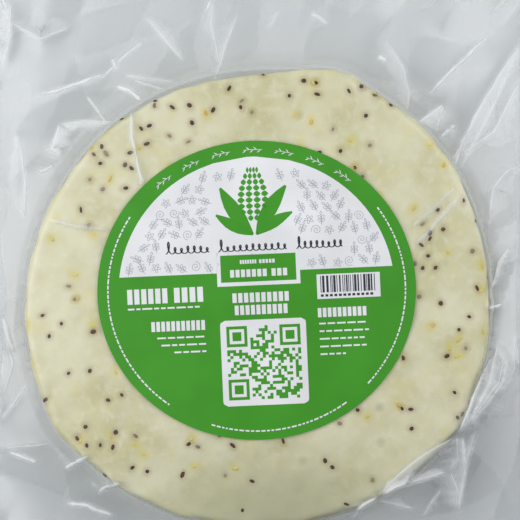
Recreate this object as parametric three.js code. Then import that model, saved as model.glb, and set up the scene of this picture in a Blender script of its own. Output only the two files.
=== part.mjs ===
// A vacuum-sealed clear pouch of stacked round corn cakes, with a round paper label on its top.
// Millimetres, +Z up. The origin is the centre of the pouch's outline, on the surface it rests on.
import * as THREE from "three";

// Stack of cakes
const CAKE_RADIUS = 76.8;
const CAKE_COUNT = 5;
const CAKE_THICKNESS = 5.2;
const STACK_CENTRE = new THREE.Vector2(0, -8);
const STACK_HEIGHT = CAKE_COUNT * CAKE_THICKNESS;
const SHOULDER = 2.6; // rounding of the top and bottom edges under the film
const GROOVE = 0.7; // how far the film dips between two cakes
const TOP_CROWN = 0.5; // fall of the top face from its centre to its rim
const TOP_RIPPLE = 0.16; // soft unevenness of the top face
const RIPPLE_RATE = new THREE.Vector2(0.062, 0.055); // radians per millimetre
const RIPPLE_PHASE = new THREE.Vector2(0.8, -0.4);
const TOP_SHARES = [0.2, 0.4, 0.6, 0.8, 1]; // rings of the top face, as shares of its radius
const SHOULDER_TURNS = [30, 60, 90]; // steps of the rounded edges, in degrees

// Swells and flats of the cake's outline: direction, spread (degrees) and height
const OUTLINE_SWELLS = [
  { at: 48, spread: 24, height: 3.7 },
  { at: 72, spread: 10, height: 4 },
  { at: 100, spread: 16, height: -0.8 },
  { at: 195, spread: 34, height: 2.3 },
  { at: 212, spread: 9, height: 2 },
  { at: 275, spread: 28, height: -2.2 },
  { at: 329, spread: 8, height: 2.2 },
];

// Sideways shifts of the cakes in the stack, from the top one down
const CAKE_SHIFTS = [
  [0, 0],
  [1.4, -0.5],
  [-0.8, 0.6],
  [0.9, 0.8],
  [-0.3, -0.7],
];

// Pouch: two films welded together round the stack
const POUCH_WIDTH = 206;
const POUCH_LENGTH = 256;
const POUCH_CORNER = 5;
const SKIRT_THICKNESS = 0.7; // both films and their creases
const SKIRT_ROOT_HEIGHT = 11; // where the films meet at the stack's side
const SKIRT_EDGE_HEIGHT = 2.6;
const SKIRT_FALL_LENGTH = 32; // distance over which the skirt sinks to its edge height
const SKIRT_FILLET = 3;
const SKIRT_SHARES = [0.03, 0.12, 0.25, 0.45, 0.7, 0.97]; // rings of the skirt, as shares of its width
const SKIRT_WAVE = 0.9;
const WAVE_COUNT = 7; // waves round the skirt, which swell and fade in WAVE_BEAT rounds
const WAVE_BEAT = 2;
const WAVE_PHASE = 0.6;
const FOLD_START = 3; // distances from the stack's side between which a fold stands
const FOLD_END = 46;
const CORNER_LIFT = 3.2;
const CORNER_SHARPNESS = 3; // power by which the lift gathers in the corners
const OUTLINE_STEP = 9.4; // spacing of the points along the pouch's edge
const CORNER_STEPS = 3;

// Folds of the skirt that radiate from the stack: direction, spread (degrees) and height
const SKIRT_FOLDS = [
  { at: 8, spread: 5, height: 1.4 },
  { at: 28, spread: 6, height: 1.8 },
  { at: 50, spread: 5, height: 2.2 },
  { at: 78, spread: 6, height: 1.2 },
  { at: 104, spread: 6, height: 2 },
  { at: 132, spread: 5, height: 1.9 },
  { at: 151, spread: 6, height: 1.6 },
  { at: 186, spread: 6, height: 1.8 },
  { at: 217, spread: 5, height: 1.7 },
  { at: 243, spread: 6, height: 1.5 },
  { at: 276, spread: 6, height: 1.3 },
  { at: 312, spread: 5, height: 2.2 },
  { at: 341, spread: 6, height: 2 },
];

// Round label on the top face, a little wider than tall
const LABEL_HALF_WIDTH = 53.2;
const LABEL_HALF_HEIGHT = 49.9;
const LABEL_TURN = THREE.MathUtils.degToRad(2.5);
const LABEL_THICKNESS = 0.25;
const LABEL_CENTRE = new THREE.Vector2(-0.9, 4.2).add(STACK_CENTRE);
const LABEL_GAP = 0.15; // clearance between the film and the label's back
const LABEL_SECTORS = 72;
const LABEL_RINGS = 4;

const FILM = new THREE.MeshStandardMaterial({ color: 0xd9d8c0, roughness: 0.25, metalness: 0 });
const PRINT = new THREE.MeshStandardMaterial({ color: 0x4a9438, roughness: 0.45, metalness: 0 });

/** Smallest signed turn from one direction to another, in degrees. */
function turnBetween(from, to) {
  return ((to - from + 540) % 360) - 180;
}

/** Sum of soft bumps, each with a direction, a spread and a height, in a direction in radians. */
function bumpsAt(bumps, angle) {
  const degrees = THREE.MathUtils.radToDeg(angle);
  const bump = (b) => b.height * Math.exp(-((turnBetween(b.at, degrees) / b.spread) ** 2));
  return bumps.reduce((sum, b) => sum + bump(b), 0);
}

/** Cake radius in a direction given in radians. */
function cakeRadius(angle) {
  return CAKE_RADIUS + bumpsAt(OUTLINE_SWELLS, angle);
}

/** Height of the stack's top face at a point of the pouch's frame. */
function topHeight(x, y) {
  const dx = x - STACK_CENTRE.x;
  const dy = y - STACK_CENTRE.y;
  const crown = TOP_CROWN * (Math.hypot(dx, dy) / CAKE_RADIUS) ** 2;
  const across = Math.sin(RIPPLE_RATE.x * dx + RIPPLE_PHASE.x);
  const along = Math.cos(RIPPLE_RATE.y * dy + RIPPLE_PHASE.y);
  return STACK_HEIGHT - crown + TOP_RIPPLE * across * along;
}

/** Points along the pouch's edge, a rectangle with rounded corners, anticlockwise from above. */
function pouchOutline() {
  const outline = new THREE.Path();
  const halfWidth = POUCH_WIDTH / 2;
  const halfLength = POUCH_LENGTH / 2;
  const points = [];
  const corners = [
    [1, -1, -90],
    [1, 1, 0],
    [-1, 1, 90],
    [-1, -1, 180],
  ];
  for (const [sideX, sideY, start] of corners) {
    const centreX = sideX * (halfWidth - POUCH_CORNER);
    const centreY = sideY * (halfLength - POUCH_CORNER);
    const from = THREE.MathUtils.degToRad(start);
    outline.absarc(centreX, centreY, POUCH_CORNER, from, from + Math.PI / 2, false);
  }
  outline.closePath();
  for (const curve of outline.curves) {
    const straight = curve.isLineCurve;
    const count = straight ? Math.round(curve.getLength() / OUTLINE_STEP) : CORNER_STEPS;
    for (let i = 0; i < count; i++) points.push(curve.getPoint(i / count));
  }
  return points;
}

/** Mid height of the skirt at a distance from the stack's side. */
function skirtHeight(distance, angle, corner) {
  const fall = THREE.MathUtils.smoothstep(distance, 0, SKIRT_FALL_LENGTH);
  const height = THREE.MathUtils.lerp(SKIRT_ROOT_HEIGHT, SKIRT_EDGE_HEIGHT, fall);
  const wave = SKIRT_WAVE * fall * Math.sin(WAVE_COUNT * angle + WAVE_PHASE) * Math.cos(WAVE_BEAT * angle);
  const along = THREE.MathUtils.clamp((distance - FOLD_START) / (FOLD_END - FOLD_START), 0, 1);
  const fold = bumpsAt(SKIRT_FOLDS, angle) * Math.sin(Math.PI * Math.sqrt(along));
  return height + wave + fold + CORNER_LIFT * corner ** CORNER_SHARPNESS * fall;
}

/** One spoke of the pouch: points from beside the top's centre, round the edge, to the base. */
function pouchSpoke(edgePoint) {
  const offset = edgePoint.clone().sub(STACK_CENTRE);
  const angle = offset.angle();
  const direction = offset.clone().normalize();
  const reach = offset.length();
  const radius = cakeRadius(angle);
  const corner = Math.abs((2 * edgePoint.x) / POUCH_WIDTH) * Math.abs((2 * edgePoint.y) / POUCH_LENGTH);
  const spoke = [];
  const at = (distance, height) => {
    const flat = direction.clone().multiplyScalar(distance).add(STACK_CENTRE);
    spoke.push(new THREE.Vector3(flat.x, flat.y, height));
  };
  const topAt = (distance) => {
    const flat = direction.clone().multiplyScalar(distance).add(STACK_CENTRE);
    return topHeight(flat.x, flat.y);
  };
  const sideRadius = (cake) => radius + direction.dot(new THREE.Vector2(...CAKE_SHIFTS[cake]));
  const innerRadius = radius - SHOULDER;

  // Top face and its rounded shoulder
  for (const share of TOP_SHARES) at(innerRadius * share, topAt(innerRadius * share));
  const rim = topAt(innerRadius);
  for (const turn of SHOULDER_TURNS) {
    const bend = THREE.MathUtils.degToRad(turn);
    at(innerRadius + SHOULDER * Math.sin(bend), rim - SHOULDER * (1 - Math.cos(bend)));
  }

  // Side of the upper cakes, dipping between one cake and the next
  const rootTop = SKIRT_ROOT_HEIGHT + SKIRT_THICKNESS / 2 + SKIRT_FILLET;
  for (let cake = 0; cake < CAKE_COUNT; cake++) {
    const floor = STACK_HEIGHT - (cake + 1) * CAKE_THICKNESS;
    const middle = floor + CAKE_THICKNESS / 2;
    if (cake > 0 && middle > rootTop) at(sideRadius(cake), middle);
    if (floor > rootTop) at(Math.min(sideRadius(cake), sideRadius(cake + 1)) - GROOVE, floor);
  }

  // Skirt: out along its upper film and back along its lower film
  const skirtCake = CAKE_COUNT - 1 - Math.floor(SKIRT_ROOT_HEIGHT / CAKE_THICKNESS);
  const root = sideRadius(skirtCake);
  const width = reach - root;
  const middleOf = (share) => skirtHeight(share * width, angle, corner * share);
  at(root, rootTop);
  for (const share of SKIRT_SHARES) at(root + share * width, middleOf(share) + SKIRT_THICKNESS / 2);
  at(reach, middleOf(1));
  for (const share of SKIRT_SHARES.toReversed()) {
    at(root + share * width, middleOf(share) - SKIRT_THICKNESS / 2);
  }
  at(root, SKIRT_ROOT_HEIGHT - SKIRT_THICKNESS / 2 - SKIRT_FILLET);

  // Side of the lowest cake, the rounded bottom edge and the flat base
  const last = sideRadius(CAKE_COUNT - 1);
  at(Math.min(last, sideRadius(CAKE_COUNT - 2)) - GROOVE, CAKE_THICKNESS);
  for (const turn of [0, ...SHOULDER_TURNS]) {
    const bend = THREE.MathUtils.degToRad(turn);
    at(last - SHOULDER * (1 - Math.cos(bend)), SHOULDER * (1 - Math.sin(bend)));
  }
  at(last * 0.5, 0);
  return spoke;
}

/** Closed surface over spokes that all run from near a top point to near a bottom point. */
function closedFromSpokes(spokes, top, bottom) {
  const length = spokes[0].length;
  const points = [...spokes.flat(), top, bottom];
  const topIndex = points.length - 2;
  const bottomIndex = points.length - 1;
  const index = [];
  spokes.forEach((_, i) => {
    const here = i * length;
    const next = ((i + 1) % spokes.length) * length;
    index.push(topIndex, here, next);
    for (let k = 0; k < length - 1; k++) {
      index.push(here + k, here + k + 1, next + k + 1);
      index.push(here + k, next + k + 1, next + k);
    }
    index.push(here + length - 1, bottomIndex, next + length - 1);
  });
  const geometry = new THREE.BufferGeometry().setFromPoints(points);
  geometry.setIndex(index);
  geometry.computeVertexNormals();
  return geometry;
}

/** The sealed pouch: stack, film and welded skirt as one solid. */
function sealedPouch() {
  const spokes = pouchOutline().map(pouchSpoke);
  const { x, y } = STACK_CENTRE;
  const top = new THREE.Vector3(x, y, topHeight(x, y));
  const bottom = new THREE.Vector3(x, y, 0);
  const mesh = new THREE.Mesh(closedFromSpokes(spokes, top, bottom), FILM);
  mesh.name = "sealed_pouch";
  return mesh;
}

/** The round label, a thin sheet that follows the top face. */
function roundLabel() {
  const spokes = [];
  for (let sector = 0; sector < LABEL_SECTORS; sector++) {
    const angle = (sector / LABEL_SECTORS) * 2 * Math.PI;
    const spoke = [];
    const at = (ring, lift) => {
      const reach = ring / LABEL_RINGS;
      const half = new THREE.Vector2(LABEL_HALF_WIDTH, LABEL_HALF_HEIGHT).multiplyScalar(reach);
      const place = new THREE.Vector2(half.x * Math.cos(angle), half.y * Math.sin(angle));
      place.rotateAround(new THREE.Vector2(), LABEL_TURN).add(LABEL_CENTRE);
      spoke.push(new THREE.Vector3(place.x, place.y, topHeight(place.x, place.y) + lift));
    };
    for (let ring = 1; ring <= LABEL_RINGS; ring++) at(ring, LABEL_GAP + LABEL_THICKNESS);
    for (let ring = LABEL_RINGS; ring >= 1; ring--) at(ring, LABEL_GAP);
    spokes.push(spoke);
  }
  const { x, y } = LABEL_CENTRE;
  const back = new THREE.Vector3(x, y, topHeight(x, y) + LABEL_GAP);
  const face = back.clone().setZ(back.z + LABEL_THICKNESS);
  const mesh = new THREE.Mesh(closedFromSpokes(spokes, face, back), PRINT);
  mesh.name = "round_label";
  return mesh;
}

const pack = new THREE.Group();
pack.name = "corn_cake_pack";
pack.add(sealedPouch(), roundLabel());

export default pack;
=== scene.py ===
"""Looks of a vacuum-sealed clear pouch of stacked corn cakes with a round label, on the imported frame.

Sizes are millimetres in the row frame, +Z up, and become metres where a mesh is made.
"""

import logging
import math
from dataclasses import dataclass, field
from enum import Enum
from functools import partial
from typing import Iterable, Sequence

import bpy
import numpy as np
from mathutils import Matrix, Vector
from mathutils.bvhtree import BVHTree
from mathutils.kdtree import KDTree


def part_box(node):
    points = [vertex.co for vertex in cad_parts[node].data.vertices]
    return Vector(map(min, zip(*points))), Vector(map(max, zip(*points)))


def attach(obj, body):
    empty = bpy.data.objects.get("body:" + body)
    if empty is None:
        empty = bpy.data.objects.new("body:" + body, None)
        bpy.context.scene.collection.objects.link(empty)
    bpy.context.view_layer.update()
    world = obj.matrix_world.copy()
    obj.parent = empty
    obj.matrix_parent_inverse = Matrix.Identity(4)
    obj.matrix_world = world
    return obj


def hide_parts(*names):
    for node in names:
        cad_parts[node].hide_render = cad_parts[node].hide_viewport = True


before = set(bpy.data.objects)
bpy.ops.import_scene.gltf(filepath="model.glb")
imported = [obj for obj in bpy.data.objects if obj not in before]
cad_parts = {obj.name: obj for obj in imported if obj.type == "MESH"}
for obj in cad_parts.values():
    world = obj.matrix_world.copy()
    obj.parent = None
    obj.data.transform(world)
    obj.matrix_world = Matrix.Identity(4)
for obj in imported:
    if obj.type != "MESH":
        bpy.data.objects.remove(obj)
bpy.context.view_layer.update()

LOG = logging.getLogger("corn_cake_pack")
MM = 0.001
CM2_PER_M2 = 1e4
BODY = "root"
POUCH_NODE = "sealed_pouch"
LABEL_NODE = "round_label"

NOISE_SPAN = (0.3, 0.7)

Array = np.ndarray
Face = Sequence[int]
Pair = tuple[float, float]
Colour = tuple[float, float, float, float]
Piece = bpy.types.Object
Material = bpy.types.Material
Socket = bpy.types.NodeSocket


class Slot(Enum):
    """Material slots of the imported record."""

    FILM = "clear_film"
    LABEL = "label_print"
    DOUGH = "corn_dough"


def srgb(red: int, green: int, blue: int) -> Colour:
    """Linear colour of an 8-bit screen colour.

    Args:
        red, green, blue: screen values from 0 to 255.

    Returns:
        The linear colour with full alpha.
    """
    def linear(value: int) -> float:
        """Linear light of one screen value."""
        share = value / 255
        return share / 12.92 if share <= 0.04045 else ((share + 0.055) / 1.055) ** 2.4

    return linear(red), linear(green), linear(blue), 1.0


def smooth_step(low: float, high: float, value: Array) -> Array:
    """Smooth rise from 0 at low to 1 at high."""
    share = np.clip((value - low) / (high - low), 0.0, 1.0)
    return share * share * (3.0 - 2.0 * share)


def grid_quads(index: Array) -> Array:
    """Corners of the quads between the points of a grid, wound towards +Z for a grid of x by y."""
    return np.stack([index[:-1, :-1], index[:-1, 1:], index[1:, 1:], index[1:, :-1]], -1)


def strip_quads(index: Array, turned: bool) -> Array:
    """Corners of the quads along a strip of points, wound one way or the other.

    Args:
        index: the points' numbers, along the strip and across it.
        turned: whether the strip's width runs to the left of its length.

    Returns:
        One row of corners for each quad.
    """
    corners = [index[:-1, :-1], index[1:, :-1], index[1:, 1:], index[:-1, 1:]]
    return np.stack(corners if turned else corners[::-1], -1).reshape(-1, 4)


def ring_faces(rings: int, count: int) -> list[Face]:
    """Faces over rings of points, closed by a point above the first ring and one below the last.

    Args:
        rings: number of rings.
        count: points on each ring.

    Returns:
        Vertex indices of each face; the upper and the lower point come after all the rings.
    """
    faces: list[Face] = []
    top, bottom = rings * count, rings * count + 1
    for here in range(count):
        following = (here + 1) % count
        faces.append((top, here, following))
        for ring in range(rings - 1):
            above, below = ring * count, (ring + 1) * count
            faces.append((above + here, below + here, below + following, above + following))
        last = (rings - 1) * count
        faces.append((last + here, bottom, last + following))
    return faces


def node_place(name: str) -> tuple[Pair, Pair]:
    """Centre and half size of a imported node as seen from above.

    Args:
        name: the node's name.

    Returns:
        Its centre and its half sizes in x and y, in millimetres.
    """
    low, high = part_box(name)
    centre = ((low.x + high.x) / 2 / MM, (low.y + high.y) / 2 / MM)
    return centre, ((high.x - low.x) / 2 / MM, (high.y - low.y) / 2 / MM)


def add_mesh(name: str, points: Array, faces: Iterable[Face], material: Material) -> Piece:
    """Makes a smooth-shaded mesh object at the origin.

    Args:
        name: the piece's name.
        points: vertices in millimetres, one row each.
        faces: vertex indices of each face.
        material: the piece's finish.

    Returns:
        The new object, linked to the scene.
    """
    mesh = bpy.data.meshes.new(name)
    mesh.from_pydata((np.asarray(points, float).reshape(-1, 3) * MM).tolist(), [], list(faces))
    mesh.polygons.foreach_set("use_smooth", np.ones(len(mesh.polygons), bool))
    mesh.materials.append(material)
    piece = bpy.data.objects.new(name, mesh)
    bpy.context.scene.collection.objects.link(piece)
    return piece


def set_attribute(piece: Piece, name: str, values: Array) -> None:
    """Stores one number for each vertex of a piece."""
    layer = piece.data.attributes.new(name, "FLOAT", "POINT")
    layer.data.foreach_set("value", np.asarray(values, np.float32))


def finish_piece(piece: Piece) -> Piece:
    """Puts a finished piece on the pack's body and reports it.

    Args:
        piece: the finished object.

    Returns:
        The same object.
    """
    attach(piece, BODY)
    LOG.info("%s: %d faces", piece.name, len(piece.data.polygons))
    return piece


def add_node(tree: bpy.types.NodeTree, kind: str, inputs: dict | None = None,
             **settings: object) -> bpy.types.Node:
    """Adds a node to a tree.

    Args:
        tree: the node tree.
        kind: Blender's node type.
        inputs: socket values or sockets to link, by input name or number.
        settings: the node's own properties.

    Returns:
        The node.
    """
    made = tree.nodes.new(kind)
    for key, value in settings.items():
        setattr(made, key, value)
    for key, value in (inputs or {}).items():
        if isinstance(value, Socket):
            tree.links.new(value, made.inputs[key])
        else:
            made.inputs[key].default_value = value
    return made


class ShaderGraph:
    """Builds one material's node tree."""

    def __init__(self, name: str) -> None:
        """Starts an empty material of that name."""
        self.material = bpy.data.materials.new(name)
        self.material.use_nodes = True
        self.tree = self.material.node_tree
        self.tree.nodes.clear()
        self.place = self.node("ShaderNodeTexCoord").outputs["Object"]

    def node(self, kind: str, inputs: dict | None = None, **settings: object) -> bpy.types.Node:
        """Adds a node to the material's tree."""
        return add_node(self.tree, kind, inputs, **settings)

    def noise(self, size: float, detail: float = 3.0, rough: float = 0.5) -> Socket:
        """Noise of a feature size in millimetres, on Object coordinates."""
        values = {"Vector": self.place, "Scale": 1.0 / (size * MM), "Detail": detail, "Roughness": rough}
        return self.node("ShaderNodeTexNoise", values).outputs["Fac"]

    def cells(self, size: float) -> Socket:
        """Distance to the nearest of scattered points a size apart in millimetres."""
        values = {"Vector": self.place, "Scale": 1.0 / (size * MM)}
        return self.node("ShaderNodeTexVoronoi", values).outputs["Distance"]

    def attribute(self, name: str) -> Socket:
        """A vertex number that the piece carries."""
        return self.node("ShaderNodeAttribute", attribute_name=name).outputs["Fac"]

    def remap(self, value: Socket, span: Pair = (0.0, 1.0), result: Pair = (0.0, 1.0)) -> Socket:
        """A value taken from one span to another and held inside it."""
        values = {"Value": value, "From Min": span[0], "From Max": span[1],
                  "To Min": result[0], "To Max": result[1]}
        return self.node("ShaderNodeMapRange", values).outputs["Result"]

    def mix(self, share: Socket | float, first: Socket | Colour, second: Socket | Colour) -> Socket:
        """A colour between two colours or colour sockets."""
        return self.node("ShaderNodeMix", {0: share, 6: first, 7: second}, data_type="RGBA").outputs[2]

    def bump(self, height: Socket, depth: float, strength: float, under: Socket | None = None) -> Socket:
        """Normal of a fine relief.

        Args:
            height: the relief's height, from 0 to 1.
            depth: its depth in millimetres.
            strength: how far it shows.
            under: normal of a coarser relief that it lies on.

        Returns:
            The normal's socket.
        """
        values = {"Height": height, "Distance": depth * MM, "Strength": strength}
        if under is not None:
            values["Normal"] = under
        return self.node("ShaderNodeBump", values).outputs["Normal"]

    def maths(self, operation: str, first: Socket, second: Socket | float, clamp: bool = False) -> Socket:
        """A sum, product or power of two numbers."""
        made = self.node("ShaderNodeMath", {0: first, 1: second}, operation=operation, use_clamp=clamp)
        return made.outputs[0]

    def blend(self, share: Socket, first: Socket, second: Socket) -> Socket:
        """A shader between two shaders."""
        return self.node("ShaderNodeMixShader", {0: share, 1: first, 2: second}).outputs[0]

    def shader(self, kind: str, **inputs: object) -> Socket:
        """A surface shader whose inputs are named with underscores for spaces."""
        named = {name.replace("_", " "): value for name, value in inputs.items()}
        return self.node("ShaderNodeBsdf" + kind, named).outputs[0]

    def close(self, shader: Socket) -> Material:
        """Links the shader to the output and returns the material."""
        self.node("ShaderNodeOutputMaterial", {"Surface": shader})
        return self.material


@dataclass(frozen=True)
class DoughFinish:
    """Moist, fine-grained pale corn dough, tinted round its seeds, with painted shade towards the stack's
    -y edge.
    """

    name: str = "corn_dough"
    pale: Colour = srgb(233, 229, 197)
    deep: Colour = srgb(213, 208, 163)
    milky: Colour = srgb(237, 234, 210)
    corn: Colour = srgb(228, 220, 162)
    stain: Colour = srgb(158, 124, 74)
    yellow: Colour = srgb(224, 210, 124)
    sunk_seed: Colour = srgb(170, 160, 136)
    # Painted shade: a darker, greyer dough colour towards the stack's -y edge, where less light falls
    painted_low_shade: Colour = srgb(190, 188, 154)
    patch: float = 17.0
    patch_span: Pair = (0.35, 0.65)
    mottle: float = 3.2
    curd_span: Pair = (0.48, 0.66)
    curd_share: float = 0.5
    blotch: float = 6.5
    blotch_span: Pair = (0.56, 0.72)
    blotch_share: float = 0.45
    sunk_pitch: float = 15.0
    sunk_span: Pair = (0.04, 0.15)
    sunk_share: float = 0.5
    yellow_share: float = 0.65
    stain_share: float = 0.42
    lump_depth: float = 0.3
    grain: float = 0.55
    grain_depth: float = 0.06
    roughness: Pair = (0.55, 0.75)
    bleed: tuple[float, float, float] = (1.0, 0.8, 0.5)
    bleed_depth: float = 1.5

    def build(self) -> Material:
        """Makes the material.

        Returns:
            The dough's finish.
        """
        graph = ShaderGraph(self.name)
        patches = graph.remap(graph.noise(self.patch, 2.0), self.patch_span)
        base = graph.mix(patches, self.pale, self.deep)
        curds = graph.remap(graph.noise(self.mottle, 4.0, 0.6), self.curd_span, (0.0, self.curd_share))
        base = graph.mix(curds, base, self.milky)
        spots = graph.remap(graph.noise(self.blotch, 2.0, 0.4), self.blotch_span, (0.0, self.blotch_share))
        base = graph.mix(spots, base, self.corn)
        sunk = graph.remap(graph.cells(self.sunk_pitch), self.sunk_span, (self.sunk_share, 0.0))
        base = graph.mix(sunk, base, self.sunk_seed)
        # Yellowing and stains are the dough's own colour round flecks and seeds; the last mark is painted
        # shade towards the stack's -y edge
        for mark, share, colour in (("yellowing", self.yellow_share, self.yellow),
                                    ("stain", self.stain_share, self.stain), ("painted_low_shading", 1.0, self.painted_low_shade)):
            base = graph.mix(graph.remap(graph.attribute(mark), result=(0.0, share)), base, colour)
        lumps = graph.bump(graph.noise(self.mottle, 3.0), self.lump_depth, 0.8)
        relief = graph.bump(graph.noise(self.grain, 2.0), self.grain_depth, 0.6, lumps)
        shine = graph.remap(graph.noise(self.mottle, 2.0), NOISE_SPAN, self.roughness)
        return graph.close(graph.shader(
            "Principled", Base_Color=base, Roughness=shine, Normal=relief, Subsurface_Weight=0.2,
            Subsurface_Radius=self.bleed, Subsurface_Scale=self.bleed_depth * MM, IOR=1.4,
            Specular_IOR_Level=0.3))


@dataclass(frozen=True)
class SeedFinish:
    """Chia seed: near black with brown marbling, paler where dough covers it."""

    name: str = "chia_seed"
    dark: Colour = srgb(52, 33, 16)
    brown: Colour = srgb(124, 76, 30)
    coated: Colour = srgb(166, 154, 122)
    vein: float = 0.5
    vein_span: Pair = (0.5, 0.66)
    vein_depth: float = 0.05
    coated_span: Pair = (0.62, 0.82)
    coated_share: float = 0.85

    def build(self) -> Material:
        """Makes the material.

        Returns:
            The seeds' finish.
        """
        graph = ShaderGraph(self.name)
        marbling = graph.remap(graph.noise(self.vein, 3.0, 0.6), self.vein_span)
        shell = graph.mix(marbling, self.dark, self.brown)
        cover = graph.remap(graph.attribute("tone"), self.coated_span, (0.0, self.coated_share))
        base = graph.mix(cover, shell, self.coated)
        relief = graph.bump(graph.noise(self.vein, 2.0), self.vein_depth, 0.5)
        return graph.close(graph.shader(
            "Principled", Base_Color=base, Roughness=0.6, Normal=relief, Specular_IOR_Level=0.2))


@dataclass(frozen=True)
class FleckFinish:
    """Bits of corn hull: straw yellow to amber, with pale fibres."""

    name: str = "corn_hull"
    straw: Colour = srgb(222, 207, 92)
    amber: Colour = srgb(208, 168, 72)
    amber_span: Pair = (0.4, 1.0)
    fibre: float = 0.9
    fibre_span: Pair = (0.45, 0.7)
    fibre_share: float = 0.35
    fibre_depth: float = 0.05

    def build(self) -> Material:
        """Makes the material.

        Returns:
            The flecks' finish.
        """
        graph = ShaderGraph(self.name)
        base = graph.mix(graph.remap(graph.attribute("tone"), self.amber_span), self.straw, self.amber)
        streaks = graph.remap(graph.noise(self.fibre, 3.0), self.fibre_span, (0.0, self.fibre_share))
        base = graph.mix(streaks, base, DoughFinish.pale)
        relief = graph.bump(graph.noise(self.fibre, 2.0), self.fibre_depth, 0.5)
        return graph.close(graph.shader("Principled", Base_Color=base, Roughness=0.45, Normal=relief))


@dataclass(frozen=True)
class FilmFinish:
    """Clear glossy pouch film with a faint milky haze, whiter along its creases from whitening and painted
    highlights, with painted sheen on facets and painted shade beside folds.
    """

    name: str = "pouch_film"
    clear: Colour = (0.985, 0.99, 0.99, 1.0)
    shine: Colour = (1.0, 1.0, 1.0, 1.0)
    haze_and_highlight: Colour = srgb(250, 252, 253)
    shadow: Colour = srgb(138, 138, 130)
    haze_range: Pair = (0.01, 0.2)
    haze_span: Pair = (0.3, 0.8)
    facet_sheen_share: float = 0.55
    tight_haze: float = 0.15
    shine_range: Pair = (0.065, 0.4)
    grazing_power: float = 5.0
    tight_roughness: float = 0.36
    loose_roughness: float = 0.24
    ripple: float = 9.0
    ripple_depth: float = 0.1
    cloud: float = 34.0

    def build(self) -> Material:
        """Makes the material.

        Returns:
            The film's finish, which reads the vertex numbers loose, the painted sheen of facets, crease and
            shade.
        """
        graph = ShaderGraph(self.name)
        normal = graph.bump(graph.noise(self.ripple, 2.0), self.ripple_depth, 0.6)
        loose = graph.attribute("loose")
        clear = graph.shader("Transparent", Color=self.clear)
        roughness = graph.remap(loose, result=(self.tight_roughness, self.loose_roughness))
        gloss = graph.shader("Glossy", Color=self.shine, Normal=normal, Roughness=roughness)
        slant = graph.node("ShaderNodeLayerWeight", {"Blend": 0.5, "Normal": normal}).outputs["Facing"]
        mirror = graph.remap(graph.maths("POWER", slant, self.grazing_power), result=self.shine_range)
        sheet = graph.blend(mirror, clear, gloss)
        # White diffuse for the haze and the painted highlights and sheen, mixed towards the shadow colour
        # for the painted shade beside folds
        haze_highlight_and_shade = graph.shader("Diffuse", Color=graph.mix(graph.attribute("shade"), self.haze_and_highlight, self.shadow))
        # Painted sheen: the haze is brighter on facets that slope one way
        patches = graph.mix(self.facet_sheen_share, graph.noise(self.cloud, 3.0), graph.attribute("painted_facet_sheen"))
        haze_and_facet_sheen = graph.remap(patches, self.haze_span, self.haze_range)
        haze_and_facet_sheen = graph.maths("MULTIPLY", haze_and_facet_sheen, graph.remap(loose, result=(self.tight_haze, 1.0)))
        # The crease mark adds whitening with painted highlights, and painted light, to the haze
        cloud = graph.maths("ADD", haze_and_facet_sheen, graph.remap(graph.attribute("crease")), clamp=True)
        return graph.close(graph.blend(cloud, sheet, haze_highlight_and_shade))


@dataclass(frozen=True)
class WeldFinish:
    """Ribbed weld of the two films, a little frosted."""

    name: str = "film_weld"
    clear: Colour = (0.97, 0.98, 0.98, 1.0)
    frost: Colour = srgb(232, 236, 238)
    frost_range: Pair = (0.154, 0.286)
    spot: float = 1.2
    spot_depth: float = 0.05
    patch: float = 4.8

    def build(self) -> Material:
        """Makes the material.

        Returns:
            The welds' finish.
        """
        graph = ShaderGraph(self.name)
        clear = graph.shader("Transparent", Color=self.clear)
        relief = graph.bump(graph.noise(self.spot, 2.0), self.spot_depth, 0.5)
        frosted = graph.shader("Principled", Base_Color=self.frost, Roughness=0.3, Normal=relief)
        share = graph.remap(graph.noise(self.patch, 2.0), NOISE_SPAN, self.frost_range)
        return graph.close(graph.blend(share, clear, frosted))


@dataclass(frozen=True)
class PrintFinish:
    """Satin printed label stock of one ink colour."""

    name: str
    ink: Colour
    depth: float = 0.07
    cloud: float = 18.0
    dot: float = 0.35
    dot_span: Pair = (0.2, 0.6)
    dot_share: float = 0.12
    dot_depth: float = 0.01
    roughness: Pair = (0.38, 0.5)

    def _shade(self, change: float) -> Colour:
        """The ink made lighter or darker by a share."""
        red, green, blue = (min(1.0, part * (1.0 + change)) for part in self.ink[:3])
        return red, green, blue, 1.0

    def build(self) -> Material:
        """Makes the material.

        Returns:
            The print's finish.
        """
        graph = ShaderGraph(self.name)
        darker, lighter = self._shade(-self.depth), self._shade(self.depth)
        base = graph.mix(graph.remap(graph.noise(self.cloud, 2.0), NOISE_SPAN), darker, lighter)
        dots = graph.remap(graph.cells(self.dot), self.dot_span, (0.0, self.dot_share))
        base = graph.mix(dots, base, darker)
        relief = graph.bump(graph.noise(self.dot, 2.0), self.dot_depth, 0.4)
        shine = graph.remap(graph.noise(self.cloud, 3.0), NOISE_SPAN, self.roughness)
        return graph.close(graph.shader(
            "Principled", Base_Color=base, Roughness=shine, Normal=relief, Specular_IOR_Level=0.35))


@dataclass(frozen=True)
class FloorFinish:
    """Plain pale matte floor."""

    name: str = "pale_floor"
    light: Colour = srgb(217, 220, 222)
    shade: Colour = srgb(213, 216, 219)
    cloud: float = 60.0

    def build(self) -> Material:
        """Makes the material.

        Returns:
            The floor's finish.
        """
        graph = ShaderGraph(self.name)
        base = graph.mix(graph.noise(self.cloud, 2.0), self.light, self.shade)
        return graph.close(graph.shader("Principled", Base_Color=base, Roughness=0.7))


@dataclass(frozen=True)
class Swell:
    """A soft swell of a round outline, or a flat if its height is negative."""

    at: float
    spread: float
    height: float

    def offset(self, degrees: Array) -> Array:
        """Radius that the swell adds in each direction."""
        turn = (degrees - self.at + 540.0) % 360.0 - 180.0
        return self.height * np.exp(-((turn / self.spread) ** 2))


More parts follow.
